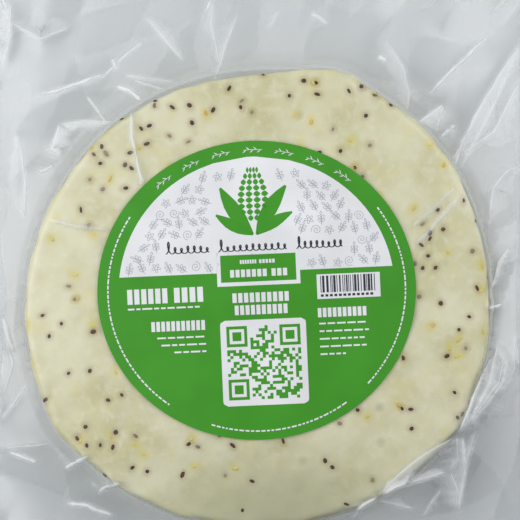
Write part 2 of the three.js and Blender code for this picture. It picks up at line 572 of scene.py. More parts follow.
@dataclass(frozen=True)
class Harmonics:
    """Smooth seeded unevenness made of plane waves."""

    seed: int
    shortest: float
    longest: float
    waves: int = 14

    def at(self, x: Array, y: Array) -> Array:
        """Value of about -1 to 1 at points of a plane.

        Args:
            x, y: the points, in millimetres.

        Returns:
            The value at each point.
        """
        rng = np.random.default_rng(self.seed)
        total = np.zeros_like(np.asarray(x, float))
        for _ in range(self.waves):
            reach = 2.0 * math.pi / rng.uniform(self.shortest, self.longest)
            heading, phase = rng.uniform(0.0, 2.0 * math.pi, 2)
            total += np.sin(reach * (x * math.cos(heading) + y * math.sin(heading)) + phase)
        return total / math.sqrt(self.waves)


@dataclass(frozen=True)
class StackShape:
    """Form of the stacked cakes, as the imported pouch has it."""

    centre_y: float = -8.0
    radius: float = 76.8
    count: int = 5
    thickness: float = 5.2
    shoulder: float = 2.6
    crown: float = 0.5
    ripple: float = 0.16
    ripple_rates: Pair = (0.062, 0.055)
    ripple_phases: Pair = (0.8, -0.4)
    uneven_seed: int = 70
    uneven_lengths: Pair = (55.0, 160.0)
    unevenness: float = 0.55
    likeness: float = 0.6
    swells: tuple[Swell, ...] = (
        Swell(48, 24, 3.7), Swell(72, 10, 4.0), Swell(100, 16, -0.8), Swell(195, 34, 2.3),
        Swell(212, 9, 2.0), Swell(275, 28, -2.2), Swell(329, 8, 2.2))
    shifts: tuple[Pair, ...] = (
        (0.0, 0.0), (1.4, -0.5), (-0.8, 0.6), (0.9, 0.8), (-0.3, -0.7))

    @property
    def height(self) -> float:
        """Height of the whole stack."""
        return self.count * self.thickness

    def radius_at(self, angle: Array) -> Array:
        """Radius of the top cake in each direction, in radians."""
        degrees = np.degrees(angle)
        return self.radius + sum(swell.offset(degrees) for swell in self.swells)

    def cake_radius(self, cake: int, angle: Array) -> Array:
        """Radius of a cake about the stack's axis.

        Args:
            cake: the cake's number, from the top.
            angle: directions, in radians.

        Returns:
            The radius in each direction.
        """
        if cake == 0:
            return self.radius_at(angle)
        waves = Harmonics(self.uneven_seed + cake, *self.uneven_lengths)
        uneven = waves.at(self.radius * np.cos(angle), self.radius * np.sin(angle))
        shift_x, shift_y = self.shifts[cake]
        own = self.likeness * self.radius_at(angle) + (1.0 - self.likeness) * self.radius
        own = own + self.unevenness * uneven
        return own + shift_x * np.cos(angle) + shift_y * np.sin(angle)

    def hull_radius(self, angle: Array) -> Array:
        """Radius of the widest cake in each direction."""
        return np.max([self.cake_radius(cake, angle) for cake in range(self.count)], axis=0)

    def top(self, x: Array, y: Array) -> Array:
        """Height of the pouch's top face.

        Args:
            x, y: places on it, in millimetres.

        Returns:
            The height at each place.
        """
        beside_y = y - self.centre_y
        fall = self.crown * (np.hypot(x, beside_y) / self.radius) ** 2
        soft = self.ripple * np.sin(self.ripple_rates[0] * x + self.ripple_phases[0])
        soft = soft * np.cos(self.ripple_rates[1] * beside_y + self.ripple_phases[1])
        return self.height - fall + soft


@dataclass(frozen=True)
class Viewpoint:
    """The camera's eye above the stack's top, its place beside the stack's axis and its picture's width."""

    height: float = 450.0
    centre: Pair = (0.2, 14.3)
    width: float = 173.3


@dataclass(frozen=True)
class Scatter:
    """Small grains spread over the marked area of a surface by Geometry Nodes."""

    name: str
    most_per_cm2: float
    spacing: float
    size: tuple[float, float, float]
    spread: float
    sink: Pair
    mark: str
    seed: int
    tilt: float = 0.25
    sides: int = 8
    rings: int = 5

    def _tree(self, material: Material) -> bpy.types.NodeTree:
        """Builds the node tree: points on faces, turned grains, one realized mesh.

        Args:
            material: the grains' finish.

        Returns:
            The tree, with inputs for the ground, the density, the spacing and the seed.
        """
        tree = bpy.data.node_groups.new(self.name, "GeometryNodeTree")
        kinds = {"Ground": "Geometry", "Density": "Float", "Spacing": "Float", "Seed": "Int"}
        for name, kind in kinds.items():
            tree.interface.new_socket(name, in_out="INPUT", socket_type="NodeSocket" + kind)
        tree.interface.new_socket("Grains", in_out="OUTPUT", socket_type="NodeSocketGeometry")
        add = partial(add_node, tree)

        def number(low: float, high: float, seed: int) -> Socket:
            """A seeded random number for each point."""
            values = {2: low, 3: high, "Seed": seed}
            return add("FunctionNodeRandomValue", values, data_type="FLOAT").outputs[1]

        def vector(low: tuple, high: tuple, seed: int) -> Socket:
            """A seeded random vector for each point."""
            values = {0: low, 1: high, "Seed": seed}
            return add("FunctionNodeRandomValue", values, data_type="FLOAT_VECTOR").outputs[0]

        given = add("NodeGroupInput")
        marked = add("GeometryNodeInputNamedAttribute", {"Name": self.mark}, data_type="FLOAT")
        points = add("GeometryNodeDistributePointsOnFaces", {
            "Mesh": given.outputs["Ground"], "Distance Min": given.outputs["Spacing"],
            "Density Max": given.outputs["Density"], "Density Factor": marked.outputs["Attribute"],
            "Seed": given.outputs["Seed"]}, distribute_method="POISSON")
        ball = add("GeometryNodeMeshUVSphere", {
            "Segments": self.sides, "Rings": self.rings, "Radius": MM / 2})
        grain = add("GeometryNodeTransform", {"Geometry": ball.outputs["Mesh"], "Scale": self.size})
        lean = vector((-self.tilt, -self.tilt, 0.0), (self.tilt, self.tilt, 2.0 * math.pi), self.seed + 1)
        spin = add("FunctionNodeEulerToRotation", {"Euler": lean})
        turned = add("FunctionNodeRotateRotation", {
            "Rotation": points.outputs["Rotation"], "Rotate By": spin.outputs[0]}, rotation_space="LOCAL")
        scale = vector((1.0 - self.spread,) * 3, (1.0 + self.spread,) * 3, self.seed + 2)
        grains = add("GeometryNodeInstanceOnPoints", {
            "Points": points.outputs["Points"], "Instance": grain.outputs["Geometry"],
            "Rotation": turned.outputs[0], "Scale": scale})
        depth = number(-self.sink[1] * MM, -self.sink[0] * MM, self.seed + 3)
        down = add("ShaderNodeCombineXYZ", {"Z": depth})
        sunk = add("GeometryNodeTranslateInstances", {
            "Instances": grains.outputs["Instances"], "Translation": down.outputs[0], "Local Space": True})
        tone = add("GeometryNodeStoreNamedAttribute", {
            "Geometry": sunk.outputs[0], "Name": "tone", "Value": number(0.0, 1.0, self.seed + 4)},
            data_type="FLOAT", domain="INSTANCE")
        real = add("GeometryNodeRealizeInstances", {"Geometry": tone.outputs[0]})
        smooth = add("GeometryNodeSetShadeSmooth", {"Geometry": real.outputs[0]})
        dressed = add("GeometryNodeSetMaterial", {"Geometry": smooth.outputs[0], "Material": material})
        add("NodeGroupOutput", {"Grains": dressed.outputs[0]})
        return tree

    def grow(self, ground: Piece, material: Material) -> Piece:
        """Spreads the grains over a copy of the ground and returns them as one plain mesh piece.

        Args:
            ground: the surface, with the mark attribute on its vertices.
            material: the grains' finish.

        Returns:
            The piece with all the grains.
        """
        carrier = bpy.data.objects.new(self.name + "_carrier", ground.data.copy())
        bpy.context.scene.collection.objects.link(carrier)
        tree = self._tree(material)
        modifier = carrier.modifiers.new(self.name, "NODES")
        modifier.node_group = tree
        density = self.most_per_cm2 * CM2_PER_M2
        values = {"Density": density, "Spacing": self.spacing * MM, "Seed": self.seed}
        for item in tree.interface.items_tree:
            if item.name in values:
                modifier[item.identifier] = values[item.name]
        evaluated = carrier.evaluated_get(bpy.context.evaluated_depsgraph_get())
        mesh = bpy.data.meshes.new_from_object(evaluated)
        mesh.name = self.name
        bpy.data.objects.remove(carrier)
        piece = bpy.data.objects.new(self.name, mesh)
        bpy.context.scene.collection.objects.link(piece)
        return piece


@dataclass
class CornStack:
    """The stacked corn cakes with their seeds and hull flecks."""

    shape: StackShape
    clearance: float = 0.18
    layer_gap: float = 0.06
    base_gap: float = 0.3
    visible_from: float = 44.0
    ring_step: float = 1.0
    sectors: int = 480
    lower_sectors: int = 240
    edge_steps: int = 12
    core_shares: Pair = (0.25, 0.5)
    hidden_shares: Pair = (0.8, 0.94)
    base_shares: tuple[float, ...] = (1.0, 0.9, 0.7, 0.4)
    lump_seed: int = 30
    lump_lengths: Pair = (5.0, 24.0)
    lump_waves: int = 24
    lump_height: float = 0.24
    lump_sink: float = 1.7
    side_lumps: float = 0.004
    stain_reach: float = 0.85
    yellow_reach: float = 1.2
    thin_seeding: float = 0.4
    clusters: tuple[Pair, ...] = (
        (-58.0, 44.0), (1.0, 66.0), (33.0, 70.0), (60.0, 19.0), (48.0, -44.0), (-48.0, -46.0),
        (-18.0, -54.0), (-43.0, 48.0), (60.0, -7.0))
    cluster_spread: float = 9.0
    # Centre and spread of the painted shade that darkens the dough towards the stack's -y edge
    low_shade_centre: Pair = (8.0, -72.0)
    low_shade_spread: Pair = (40.0, 20.0)
    seeds: Scatter = field(default_factory=lambda: Scatter(
        "chia_seeds", most_per_cm2=1.9, spacing=1.7, size=(2.1, 1.4, 0.5), spread=0.24,
        sink=(0.0, 0.16), mark="seeded", seed=21))
    flecks: Scatter = field(default_factory=lambda: Scatter(
        "corn_hull_flecks", most_per_cm2=0.36, spacing=3.4, size=(2.2, 1.2, 0.3), spread=0.35,
        sink=(0.0, 0.1), mark="shown", seed=45))

    def _rings(self, cake: int, angle: Array) -> tuple[Array, Array, Array]:
        """Rings of one cake from beside its top centre to beside its bottom centre.

        Args:
            cake: the cake's number, from the top.
            angle: directions of the sectors, in radians.

        Returns:
            Distances from the axis, heights, and how far each ring counts as a shown surface.
        """
        shape = self.shape
        rim = shape.cake_radius(cake, angle) - self.clearance
        edge = shape.shoulder
        flat = rim - edge
        below = shape.count - 1 - cake
        floor = below * shape.thickness + (self.layer_gap if below else self.base_gap)
        roof = (below + 1) * shape.thickness
        level = shape.radius - edge
        fine = np.arange(self.visible_from, level - 1.0, self.ring_step) / level
        shares = np.concatenate([self.core_shares, fine if cake == 0 else self.hidden_shares, [1.0]])
        distance = [flat * share for share in shares]
        height = [np.full_like(angle, roof)] * len(shares)
        shown = [1.0 if cake == 0 else 0.0] * len(shares)
        swing = np.linspace(0.5, -0.5, self.edge_steps + 1)[1:-1] * math.pi
        middle, half = 0.5 * (roof + floor), 0.5 * (roof - floor)
        for turn in swing:
            distance.append(flat + edge * math.cos(turn))
            height.append(np.full_like(angle, middle + half * math.sin(turn)))
            shown.append(1.0)
        base_shown = 1.0 if cake == shape.count - 1 else 0.0
        for share in self.base_shares:
            distance.append(flat * share)
            height.append(np.full_like(angle, floor))
            shown.append(base_shown)
        return np.array(distance), np.array(height), np.array(shown)

    def _cake(self, cake: int, material: Material) -> Piece:
        """One uneven round cake with a full rounded edge.

        Args:
            cake: the cake's number, from the top.
            material: the dough's finish.

        Returns:
            The cake's piece, with the numbers that its seeds and flecks read.
        """
        shape = self.shape
        count = self.sectors if cake == 0 else self.lower_sectors
        angle = np.linspace(0.0, 2.0 * math.pi, count, endpoint=False)
        distance, height, shown = self._rings(cake, angle)
        x = distance * np.cos(angle)
        y = distance * np.sin(angle) + shape.centre_y
        waves = Harmonics(self.lump_seed + cake, *self.lump_lengths, self.lump_waves)
        lumps = waves.at(x, y + 3.0 * height)
        floor, roof = height.min(), height.max()
        rise = (height - floor) / (roof - floor)
        if cake == 0:
            face = shape.top(x, y) - self.clearance - roof + self.lump_height * (lumps - self.lump_sink)
            height = height + rise * face
        swell = 1.0 + self.side_lumps * lumps * np.sin(rise * math.pi)
        x, y = x * swell, (y - shape.centre_y) * swell + shape.centre_y
        points = np.stack([x, y, height], -1).reshape(-1, 3)
        top = [0.0, shape.centre_y, float(height[0].mean())]
        bottom = [0.0, shape.centre_y, float(floor)]
        points = np.concatenate([points, [top, bottom]])
        piece = add_mesh(f"corn_cake_{cake + 1}", points, ring_faces(len(distance), count), material)
        marks = np.concatenate([np.repeat(shown, count), [shown[0], shown[-1]]])
        set_attribute(piece, "shown", marks)
        set_attribute(piece, "seeded", marks * self._seed_share(points))
        # Painted shade: the dough darkens towards the stack's -y edge
        across = (points[:, 0] - self.low_shade_centre[0]) / self.low_shade_spread[0]
        upward = (points[:, 1] - shape.centre_y - self.low_shade_centre[1]) / self.low_shade_spread[1]
        set_attribute(piece, "painted_low_shading", np.exp(-(across ** 2) - upward ** 2))
        return piece

    def _seed_share(self, points: Array) -> Array:
        """How thickly seeds lie: thin overall, thicker in clusters.

        Args:
            points: the cake's points, one row each.

        Returns:
            A share from 0 to 1 at each point.
        """
        share = np.full(len(points), self.thin_seeding)
        for x, y in self.clusters:
            away = np.hypot(points[:, 0] - x, points[:, 1] - self.shape.centre_y - y)
            share += (1.0 - self.thin_seeding) * np.exp(-((away / self.cluster_spread) ** 2))
        return np.clip(share, 0.0, 1.0)

    @staticmethod
    def _mark_round(cakes: Sequence[Piece], grains: Piece, name: str, reach: float) -> None:
        """Marks the dough near grains, where their colour has bled.

        Args:
            cakes: the pieces to mark.
            grains: the piece with the grains.
            name: the mark's attribute.
            reach: distance at which the mark has mostly faded.
        """
        tree = KDTree(len(grains.data.vertices))
        for index, vertex in enumerate(grains.data.vertices):
            tree.insert(vertex.co, index)
        tree.balance()
        for cake in cakes:
            away = np.array([tree.find(vertex.co)[2] for vertex in cake.data.vertices]) / MM
            set_attribute(cake, name, np.exp(-((away / reach) ** 2)))

    def build(self) -> list[Piece]:
        """Makes the cakes, their seeds and their flecks.

        Returns:
            Every finished piece of the stack.
        """
        dough = DoughFinish().build()
        cakes = [self._cake(cake, dough) for cake in range(self.shape.count)]
        ground = self._joined(cakes)
        seeds = self.seeds.grow(ground, SeedFinish().build())
        flecks = self.flecks.grow(ground, FleckFinish().build())
        bpy.data.objects.remove(ground)
        self._mark_round(cakes, seeds, "stain", self.stain_reach)
        self._mark_round(cakes, flecks, "yellowing", self.yellow_reach)
        return [finish_piece(piece) for piece in (*cakes, seeds, flecks)]

    @staticmethod
    def _joined(pieces: Sequence[Piece]) -> Piece:
        """One mesh object made of copies of several pieces.

        Args:
            pieces: the pieces to copy.

        Returns:
            The joined object.
        """
        copies = []
        for piece in pieces:
            copy = bpy.data.objects.new(piece.name + "_copy", piece.data.copy())
            bpy.context.scene.collection.objects.link(copy)
            copies.append(copy)
        with bpy.context.temp_override(active_object=copies[0], selected_editable_objects=copies):
            bpy.ops.object.join()
        return copies[0]


@dataclass(frozen=True)
class Crease:
    """A fold of the film along a broken line, given beside the stack's axis as the camera sees it.

    A blade is a flat facet with a painted sheen, brightest at its crisp edge, to the left of the line, or
    to its right if its width is negative.
    """

    path: tuple[Pair, ...]
    height: float
    width: float
    # Whitening of the film along the fold, with a painted highlight on the fold's crest
    whitening_and_highlight: float = 0.5
    skew: float = 1.8
    line_width: float = 0.7
    shadow: float = 0.3
    blade: float = 0.0

    def marks(self, x: Array, y: Array) -> tuple[Array, Array]:
        """How far the fold raises the film, and how far it whitens it with whitening and a painted
        highlight, at each point.

        Args:
            x, y: places beside the stack's axis, as the camera sees them.

        Returns:
            The lift in millimetres and the whitening with painted highlight, from 0 to 1.
        """
        path = np.array(self.path)
        lengths = np.hypot(*np.diff(path, axis=0).T)
        passed = np.concatenate([[0.0], np.cumsum(lengths)])
        nearest = np.full(x.shape, np.inf)
        side, share = np.zeros(x.shape), np.zeros(x.shape)
        for number, length in enumerate(lengths):
            along = (path[number + 1] - path[number]) / length
            dx, dy = x - path[number][0], y - path[number][1]
            run = np.clip(dx * along[0] + dy * along[1], 0.0, length)
            away = np.hypot(dx - run * along[0], dy - run * along[1])
            closer = away < nearest
            nearest = np.where(closer, away, nearest)
            side = np.where(closer, dy * along[0] - dx * along[1], side)
            share = np.where(closer, (passed[number] + run) / passed[-1], share)
        taper = np.sqrt(np.sin(np.pi * np.clip(share, 0.01, 0.99)))
        width = np.where(side > 0.0, self.width * self.skew, self.width)
        lift = self.height * taper * np.exp(-np.sqrt(nearest ** 2 + 0.04) / width)
        white = self.whitening_and_highlight * taper * np.exp(-((nearest / self.line_width) ** 2))
        return lift, white


@dataclass(frozen=True)
class DrawStage:
    """One stage of drawing the film on: time steps, share of the full suction, share of speed kept."""

    steps: int
    push: float
    damping: float


@dataclass
class PouchFilm:
    """The clear pouch: an upper and a lower film drawn together round the stack."""

    shape: StackShape
    view: Viewpoint
    flat_margin: Pair = (2.0, 9.0)
    first_step: float = 4.0
    start_gap: float = 0.8
    stages: tuple[DrawStage, ...] = (
        DrawStage(110, 1.0, 0.95), DrawStage(60, 0.8, 0.92), DrawStage(24, 0.6, 0.85))
    rounds: int = 8
    top_speed: float = 1.2
    shear_give: float = 0.6
    root_height: float = 11.0
    edge_height: float = 3.4
    fall_length: float = 34.0
    film_gap: float = 0.2
    lowest: float = 0.8
    hug: float = 0.02
    label_keep: float = 2.0
    squeeze: float = 0.85
    grip: float = 0.12
    suction: float = 0.06
    bending: float = 0.02
    hold: float = 0.006
    buckles: int = 30
    buckle_spread: Pair = (2.5, 7.0)
    buckle_height: Pair = (-1.5, 2.0)
    buckle_reach: Pair = (72.0, 90.0)
    buckle_noise: float = 0.2
    seed: int = 11
    closeness: float = 0.14
    close_width: float = 14.0
    soften_rounds: int = 160
    # Share of each fold's whitening and painted highlight that the film under it takes
    soft_whitening_and_highlight: float = 0.6
    crumple_height: float = 0.8
    crumple_waves: int = 7
    crumple_seed: int = 28
    crumple_lengths: Pair = (22.0, 60.0)
    crumple_bend_seed: int = 400
    crumple_bend_lengths: Pair = (40.0, 110.0)
    crumple_share_seed: int = 420
    crumple_share_lengths: Pair = (50.0, 120.0)
    # Haze of the film bridging from the stack, with painted light that evens out the shadow band beside it
    bridge_haze_and_light: float = 0.3
    bridge_width: float = 3.5
    # Painted light: a whiter patch on the skirt's right side
    lit_patch_centre: Pair = (85.0, -4.0)
    lit_patch_spread: Pair = (12.0, 44.0)
    lit_patch_share: float = 0.5
    spare_creases: int = 34
    spare_beside: float = 88.0
    spare_rows: Pair = (-74.0, 100.0)
    spare_lengths: Pair = (8.0, 26.0)
    spare_heights: Pair = (0.4, 1.0)
    spare_widths: Pair = (0.9, 2.2)
    # Whitening and painted highlight of the seeded folds
    spare_whitening_and_highlight: Pair = (0.2, 0.7)
    creases: tuple[Crease, ...] = (
        # Folds that run over the top cake
        Crease(((-42.8, 65.0), (-42.3, 55.1), (-38.6, 36.5)), 0.7, 0.7, 0.5, line_width=0.8, shadow=1.0),
        Crease(((66.4, 35.7), (52.0, 18.6)), 0.4, 1.2, 0.24, line_width=1.0),
        Crease(((64.8, 38.3), (58.0, 31.4), (51.0, 25.0)), 0.4, 1.2, 0.17, line_width=0.9),
        Crease(((-69.8, 27.7), (-60.0, 25.3), (-50.0, 24.4)), 0.4, 1.2, 0.2, line_width=0.9),
        # Fan of folds at the lower right
        Crease(((78.8, -15.5), (74.6, -23.7), (71.3, -31.3), (66.0, -44.5)), 1.0, 2.0, 0.7, blade=4.5),
        Crease(((78.8, -14.5), (81.2, -20.5), (79.8, -26.4), (72.8, -36.0), (66.0, -44.7)), 6.0, 2.4, 0.95,
               blade=-3.5),
        Crease(((86.0, -10.0), (85.0, -22.0), (80.0, -32.0)), 1.0, 2.0, 0.5, blade=-4.0),
        Crease(((66.0, -44.7), (58.9, -47.9), (50.3, -53.8), (39.0, -64.0)), 0.5, 1.2, 0.5, blade=4.0),
        Crease(((63.2, -56.0), (52.4, -59.2), (45.4, -61.4), (40.6, -64.6)), 3.5, 2.0, 0.95, blade=-4.0),
        Crease(((63.2, -55.0), (65.8, -62.4), (65.8, -68.9)), 1.5, 1.6, 0.9, blade=-4.0),
        Crease(((65.9, -44.0), (66.0, -51.7), (63.0, -56.5)), 3.5, 2.0, 0.95, blade=-3.0),
        Crease(((72.0, -42.0), (69.5, -52.0), (67.0, -60.0)), 1.5, 2.0, 0.6, blade=-3.5),
        Crease(((67.5, -43.0), (68.5, -54.0), (66.5, -70.0)), 0.3, 1.0, 0.75, blade=-13.0),
        Crease(((79.5, -12.0), (76.5, -27.0), (67.5, -43.0)), 0.3, 1.0, 0.9, blade=11.0),
        # Broad facets at the right and the left
        Crease(((77.5, 42.0), (81.0, 30.0), (79.5, 21.0), (82.5, 5.0), (79.5, -8.0)), 0.3, 1.0, 0.4,
               blade=9.0),
        Crease(((88.0, 90.0), (78.0, 66.0), (66.0, 43.0)), 0.3, 1.0, 1.0, blade=14.0),
        Crease(((-85.0, -6.0), (-82.3, -20.0), (-85.5, -33.0)), 0.8, 2.0, 0.4, blade=-4.0),
        # Folds along the upper edge
        Crease(((-74.1, 68.9), (-58.1, 74.2), (-51.0, 76.6)), 0.6, 1.0, 0.7),
        Crease(((-52.8, 75.0), (-45.6, 81.7), (-38.5, 87.7)), 0.5, 1.2, 0.4),
        Crease(((-48.9, 81.7), (-47.6, 78.0)), 0.5, 1.4, 0.6, line_width=1.0),
        Crease(((-48.0, 72.5), (-43.4, 70.9), (-39.2, 67.4)), 0.6, 1.0, 0.8, line_width=0.9),
        Crease(((-45.5, 76.2), (-27.9, 74.0)), 0.3, 0.9, 0.4, blade=-2.6),
        Crease(((-42.3, 74.5), (-31.2, 70.9)), 0.3, 0.9, 0.3, line_width=0.5),
        Crease(((-38.5, 95.8), (-34.5, 91.0), (-25.0, 80.5)), 0.8, 1.8, 0.5, blade=5.0),
        Crease(((-15.2, 74.0), (-13.0, 80.0), (-10.8, 87.2), (-6.8, 97.0)), 1.0, 2.0, 0.45, blade=4.0),
        Crease(((-15.5, 102.0), (-16.0, 92.0), (-13.0, 78.0)), 0.8, 1.6, 0.45, blade=-3.5),
        Crease(((-57.8, 69.5), (-50.6, 59.8)), 0.5, 1.4, 0.45),
        Crease(((-84.1, 93.9), (-72.9, 87.8), (-62.3, 92.1)), 0.7, 1.8, 0.4, blade=8.0),
        Crease(((-83.2, 101.5), (-82.8, 89.2), (-85.5, 78.0)), 0.6, 2.0, 0.45, blade=-4.0),
        Crease(((16.9, 97.1), (23.2, 92.9)), 0.6, 1.4, 0.35, line_width=0.8),
        Crease(((3.0, 90.8), (6.5, 97.8)), 0.6, 1.4, 0.35, blade=3.0),
        Crease(((39.3, 82.4), (42.6, 80.8)), 0.5, 1.0, 0.85, line_width=0.9),
        # Folds at the upper left
        Crease(((-66.5, 60.0), (-69.3, 51.5), (-65.8, 48.8)), 0.8, 1.8, 0.7, blade=7.0),
        Crease(((-67.0, 59.8), (-58.0, 60.8), (-47.5, 60.4)), 0.6, 1.4, 0.45, blade=-3.5),
        Crease(((-80.8, 57.2), (-78.0, 43.0), (-78.2, 27.5)), 0.8, 2.4, 0.45, blade=-5.0),
        Crease(((-73.5, 43.5), (-68.5, 46.0)), 0.5, 1.0, 0.5, line_width=0.8),
        # Folds from the upper right corner
        Crease(((75.6, 88.4), (69.2, 82.4), (56.8, 70.0)), 0.6, 1.1, 0.7),
        Crease(((86.8, 87.0), (75.0, 67.9), (63.4, 45.6)), 1.0, 2.0, 0.7, blade=5.0),
        Crease(((86.8, 74.5), (78.0, 57.2), (66.7, 49.0)), 0.8, 1.8, 0.65, blade=4.5),
        Crease(((70.8, 58.4), (67.5, 54.0), (65.4, 45.2)), 0.5, 1.2, 0.5),
        Crease(((65.5, 59.6), (60.4, 55.2)), 0.5, 1.1, 0.6),
        Crease(((52.3, 60.0), (61.6, 66.3)), 0.8, 1.8, 0.75, blade=-5.5),
        Crease(((61.4, 66.1), (59.0, 57.8)), 0.5, 1.2, 0.5),
        Crease(((41.2, 88.2), (47.8, 78.5), (50.2, 70.2), (49.2, 62.0)), 0.5, 1.4, 0.4, blade=-5.0),
        # Folds close to the stack's right side
        Crease(((76.2, 26.0), (77.8, 38.5), (83.3, 44.8), (88.0, 45.6)), 0.7, 1.6, 0.55, blade=-5.5),
        Crease(((83.5, 19.5), (79.6, 13.5), (77.2, 4.5)), 4.5, 2.0, 1.0, blade=3.0),
        # Folds at the lower left and below
        Crease(((-86.5, -39.8), (-77.2, -27.7)), 0.7, 1.2, 0.5, blade=3.0),
        Crease(((-83.7, -49.8), (-73.8, -53.1)), 0.6, 1.0, 0.9),
        Crease(((-86.5, -48.7), (-69.9, -47.0)), 0.4, 1.0, 0.3, line_width=0.5),
        Crease(((-65.0, -55.5), (-57.2, -51.0)), 3.0, 1.2, 0.9, line_width=0.9),
        Crease(((-64.4, -66.9), (-57.2, -67.5), (-48.4, -71.3)), 0.6, 1.1, 0.9, line_width=0.9),
        Crease(((-53.8, -63.4), (-51.2, -61.3), (-46.3, -59.9)), 3.0, 1.2, 0.7, line_width=0.8),
        Crease(((-85.4, -3.9), (-83.7, -12.2), (-81.5, -16.6)), 0.9, 2.4, 0.6, line_width=1.2),
        Crease(((76.4, -1.9), (81.2, -0.2)), 5.5, 1.3, 1.0),
        Crease(((38.8, -65.8), (51.5, -68.6)), 0.5, 1.1, 0.7, blade=3.0),
        Crease(((30.5, -71.8), (34.4, -67.5), (39.4, -65.0)), 3.0, 1.2, 0.7, line_width=0.7),
        Crease(((53.8, -71.5), (60.8, -61.3)), 0.7, 2.0, 0.5, blade=-3.0),
    )

    def __post_init__(self) -> None:
        """Lays the flat film out and works out the stack's hull."""
        low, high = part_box(POUCH_NODE)
        wide, tall = (high.x - low.x) / MM, (high.y - low.y) / MM
        self.flat = (wide + self.flat_margin[0], tall + self.flat_margin[1])
        self.label_centre, self.label_half = node_place(LABEL_NODE)
        self.hull_angles = np.linspace(-math.pi, math.pi, 721)
        self.hull = self.shape.hull_radius(self.hull_angles)
        columns, rows = (round(size / self.first_step) + 1 for size in self.flat)
        across = np.linspace(-self.flat[0] / 2, self.flat[0] / 2, columns)
        upward = np.linspace(-self.flat[1] / 2, self.flat[1] / 2, rows)
        x, y = np.meshgrid(across, upward)
        self.pitch = (across[1] - across[0], upward[1] - upward[0])
        self.points = np.stack([x, y, np.full_like(x, self.shape.height + self.start_gap)], -1)
        self.speed = np.zeros_like(self.points)
        self.folds = (*self.creases, *self._spare_creases())

    def _polar(self) -> tuple[Array, Array, Array, Array]:
        """Where the film's points are about the stack's axis.

        Returns:
            Their offsets in x and y, the offsets' lengths and the hull's radius in each direction.
        """
        dx = self.points[..., 0]
        dy = self.points[..., 1] - self.shape.centre_y
        reach = np.hypot(dx, dy) + 1e-6
        return dx, dy, reach, np.interp(np.arctan2(dy, dx), self.hull_angles, self.hull)

    def _skirt_height(self, beyond: Array) -> Array:
        """Height where the two films lie together, at a distance beyond the stack's side."""
        fall = smooth_step(0.0, self.fall_length, beyond)
        return self.root_height + (self.edge_height - self.root_height) * fall

    def _buckle(self) -> None:
        """Gives the flat film slight seeded rays to fold along."""
        rng = np.random.default_rng(self.seed)
        dx, dy, reach, _ = self._polar()
        turn = np.degrees(np.arctan2(dy, dx))
        for at in rng.uniform(0.0, 360.0, self.buckles):
            ray = Swell(float(at), rng.uniform(*self.buckle_spread), rng.uniform(*self.buckle_height))
            self.points[..., 2] += ray.offset(turn) * smooth_step(*self.buckle_reach, reach)
        self.points[..., 2] += rng.normal(0.0, self.buckle_noise, reach.shape)

    def _pull(self, first: tuple, second: tuple, rest: float, give: float) -> None:
        """Draws pairs of points to their flat distance, with some give when pressed together.

        Args:
            first, second: slices of the two points of each pair.
            rest: their distance in the flat film.
            give: share of the way that they are drawn.
        """
        span = self.points[second] - self.points[first]
        length = np.sqrt(np.einsum("ijk,ijk->ij", span, span))
        share = 0.5 * (length - rest) / np.maximum(length, 1e-6)
        share *= np.where(length > rest, 1.0, self.squeeze) * give
        span *= share[..., None]
        self.points[first] += span
        self.points[second] -= span

    def _keep_lengths(self) -> None:
        """Keeps the film as long as it was flat, and resists sharp bends a little."""
        rows, columns = self.points.shape[:2]
        wide, tall = self.pitch
        every = slice(None)
        for odd in (0, 1):
            pairs = (columns - odd) // 2
            left, right = slice(odd, odd + 2 * pairs - 1, 2), slice(odd + 1, odd + 2 * pairs, 2)
            self._pull((every, left), (every, right), wide, 1.0)
            pairs = (rows - odd) // 2
            lower, upper = slice(odd, odd + 2 * pairs - 1, 2), slice(odd + 1, odd + 2 * pairs, 2)
            self._pull((lower, every), (upper, every), tall, 1.0)
            slant = math.hypot(wide, tall)
            self._pull((lower, slice(0, -1)), (upper, slice(1, None)), slant, self.shear_give)
            self._pull((lower, slice(1, None)), (upper, slice(0, -1)), slant, self.shear_give)
        bend = np.zeros_like(self.points)
        bend[:, 1:-1] += 0.5 * (self.points[:, 2:] + self.points[:, :-2]) - self.points[:, 1:-1]
        bend[1:-1] += 0.5 * (self.points[2:] + self.points[:-2]) - self.points[1:-1]
        self.points += self.bending * bend

    def _keep_out(self, before: Array) -> None:
        """Holds the film outside the stack, with some grip where it touches.

        Args:
            before: the film's points at the start of the time step.
        """
        dx, dy, reach, hull = self._polar()
        round_off = self.shape.shoulder
        out = reach - (hull - round_off)
        up = self.points[..., 2] - (self.shape.top(self.points[..., 0], self.points[..., 1]) - round_off)
        past_out, past_up = np.maximum(out, 0.0), np.maximum(up, 0.0)
        corner = np.hypot(past_out, past_up)
        depth = corner + np.minimum(np.maximum(out, up), 0.0) - round_off
        inside = corner < 1e-6
        push_out = np.where(inside, out > up, past_out / np.maximum(corner, 1e-6))
        push_up = np.where(inside, out <= up, past_up / np.maximum(corner, 1e-6))
        touching = depth < self.hug
        push = np.where(touching, self.hug - depth, 0.0)
        self.points[..., 0] += push * push_out * dx / reach
        self.points[..., 1] += push * push_out * dy / reach
        self.points[..., 2] = np.maximum(self.points[..., 2] + push * push_up, self.lowest)
        held = self.points[..., :2] * (1.0 - self.grip) + before[..., :2] * self.grip
        self.points[..., :2] = np.where(touching[..., None], held, self.points[..., :2])

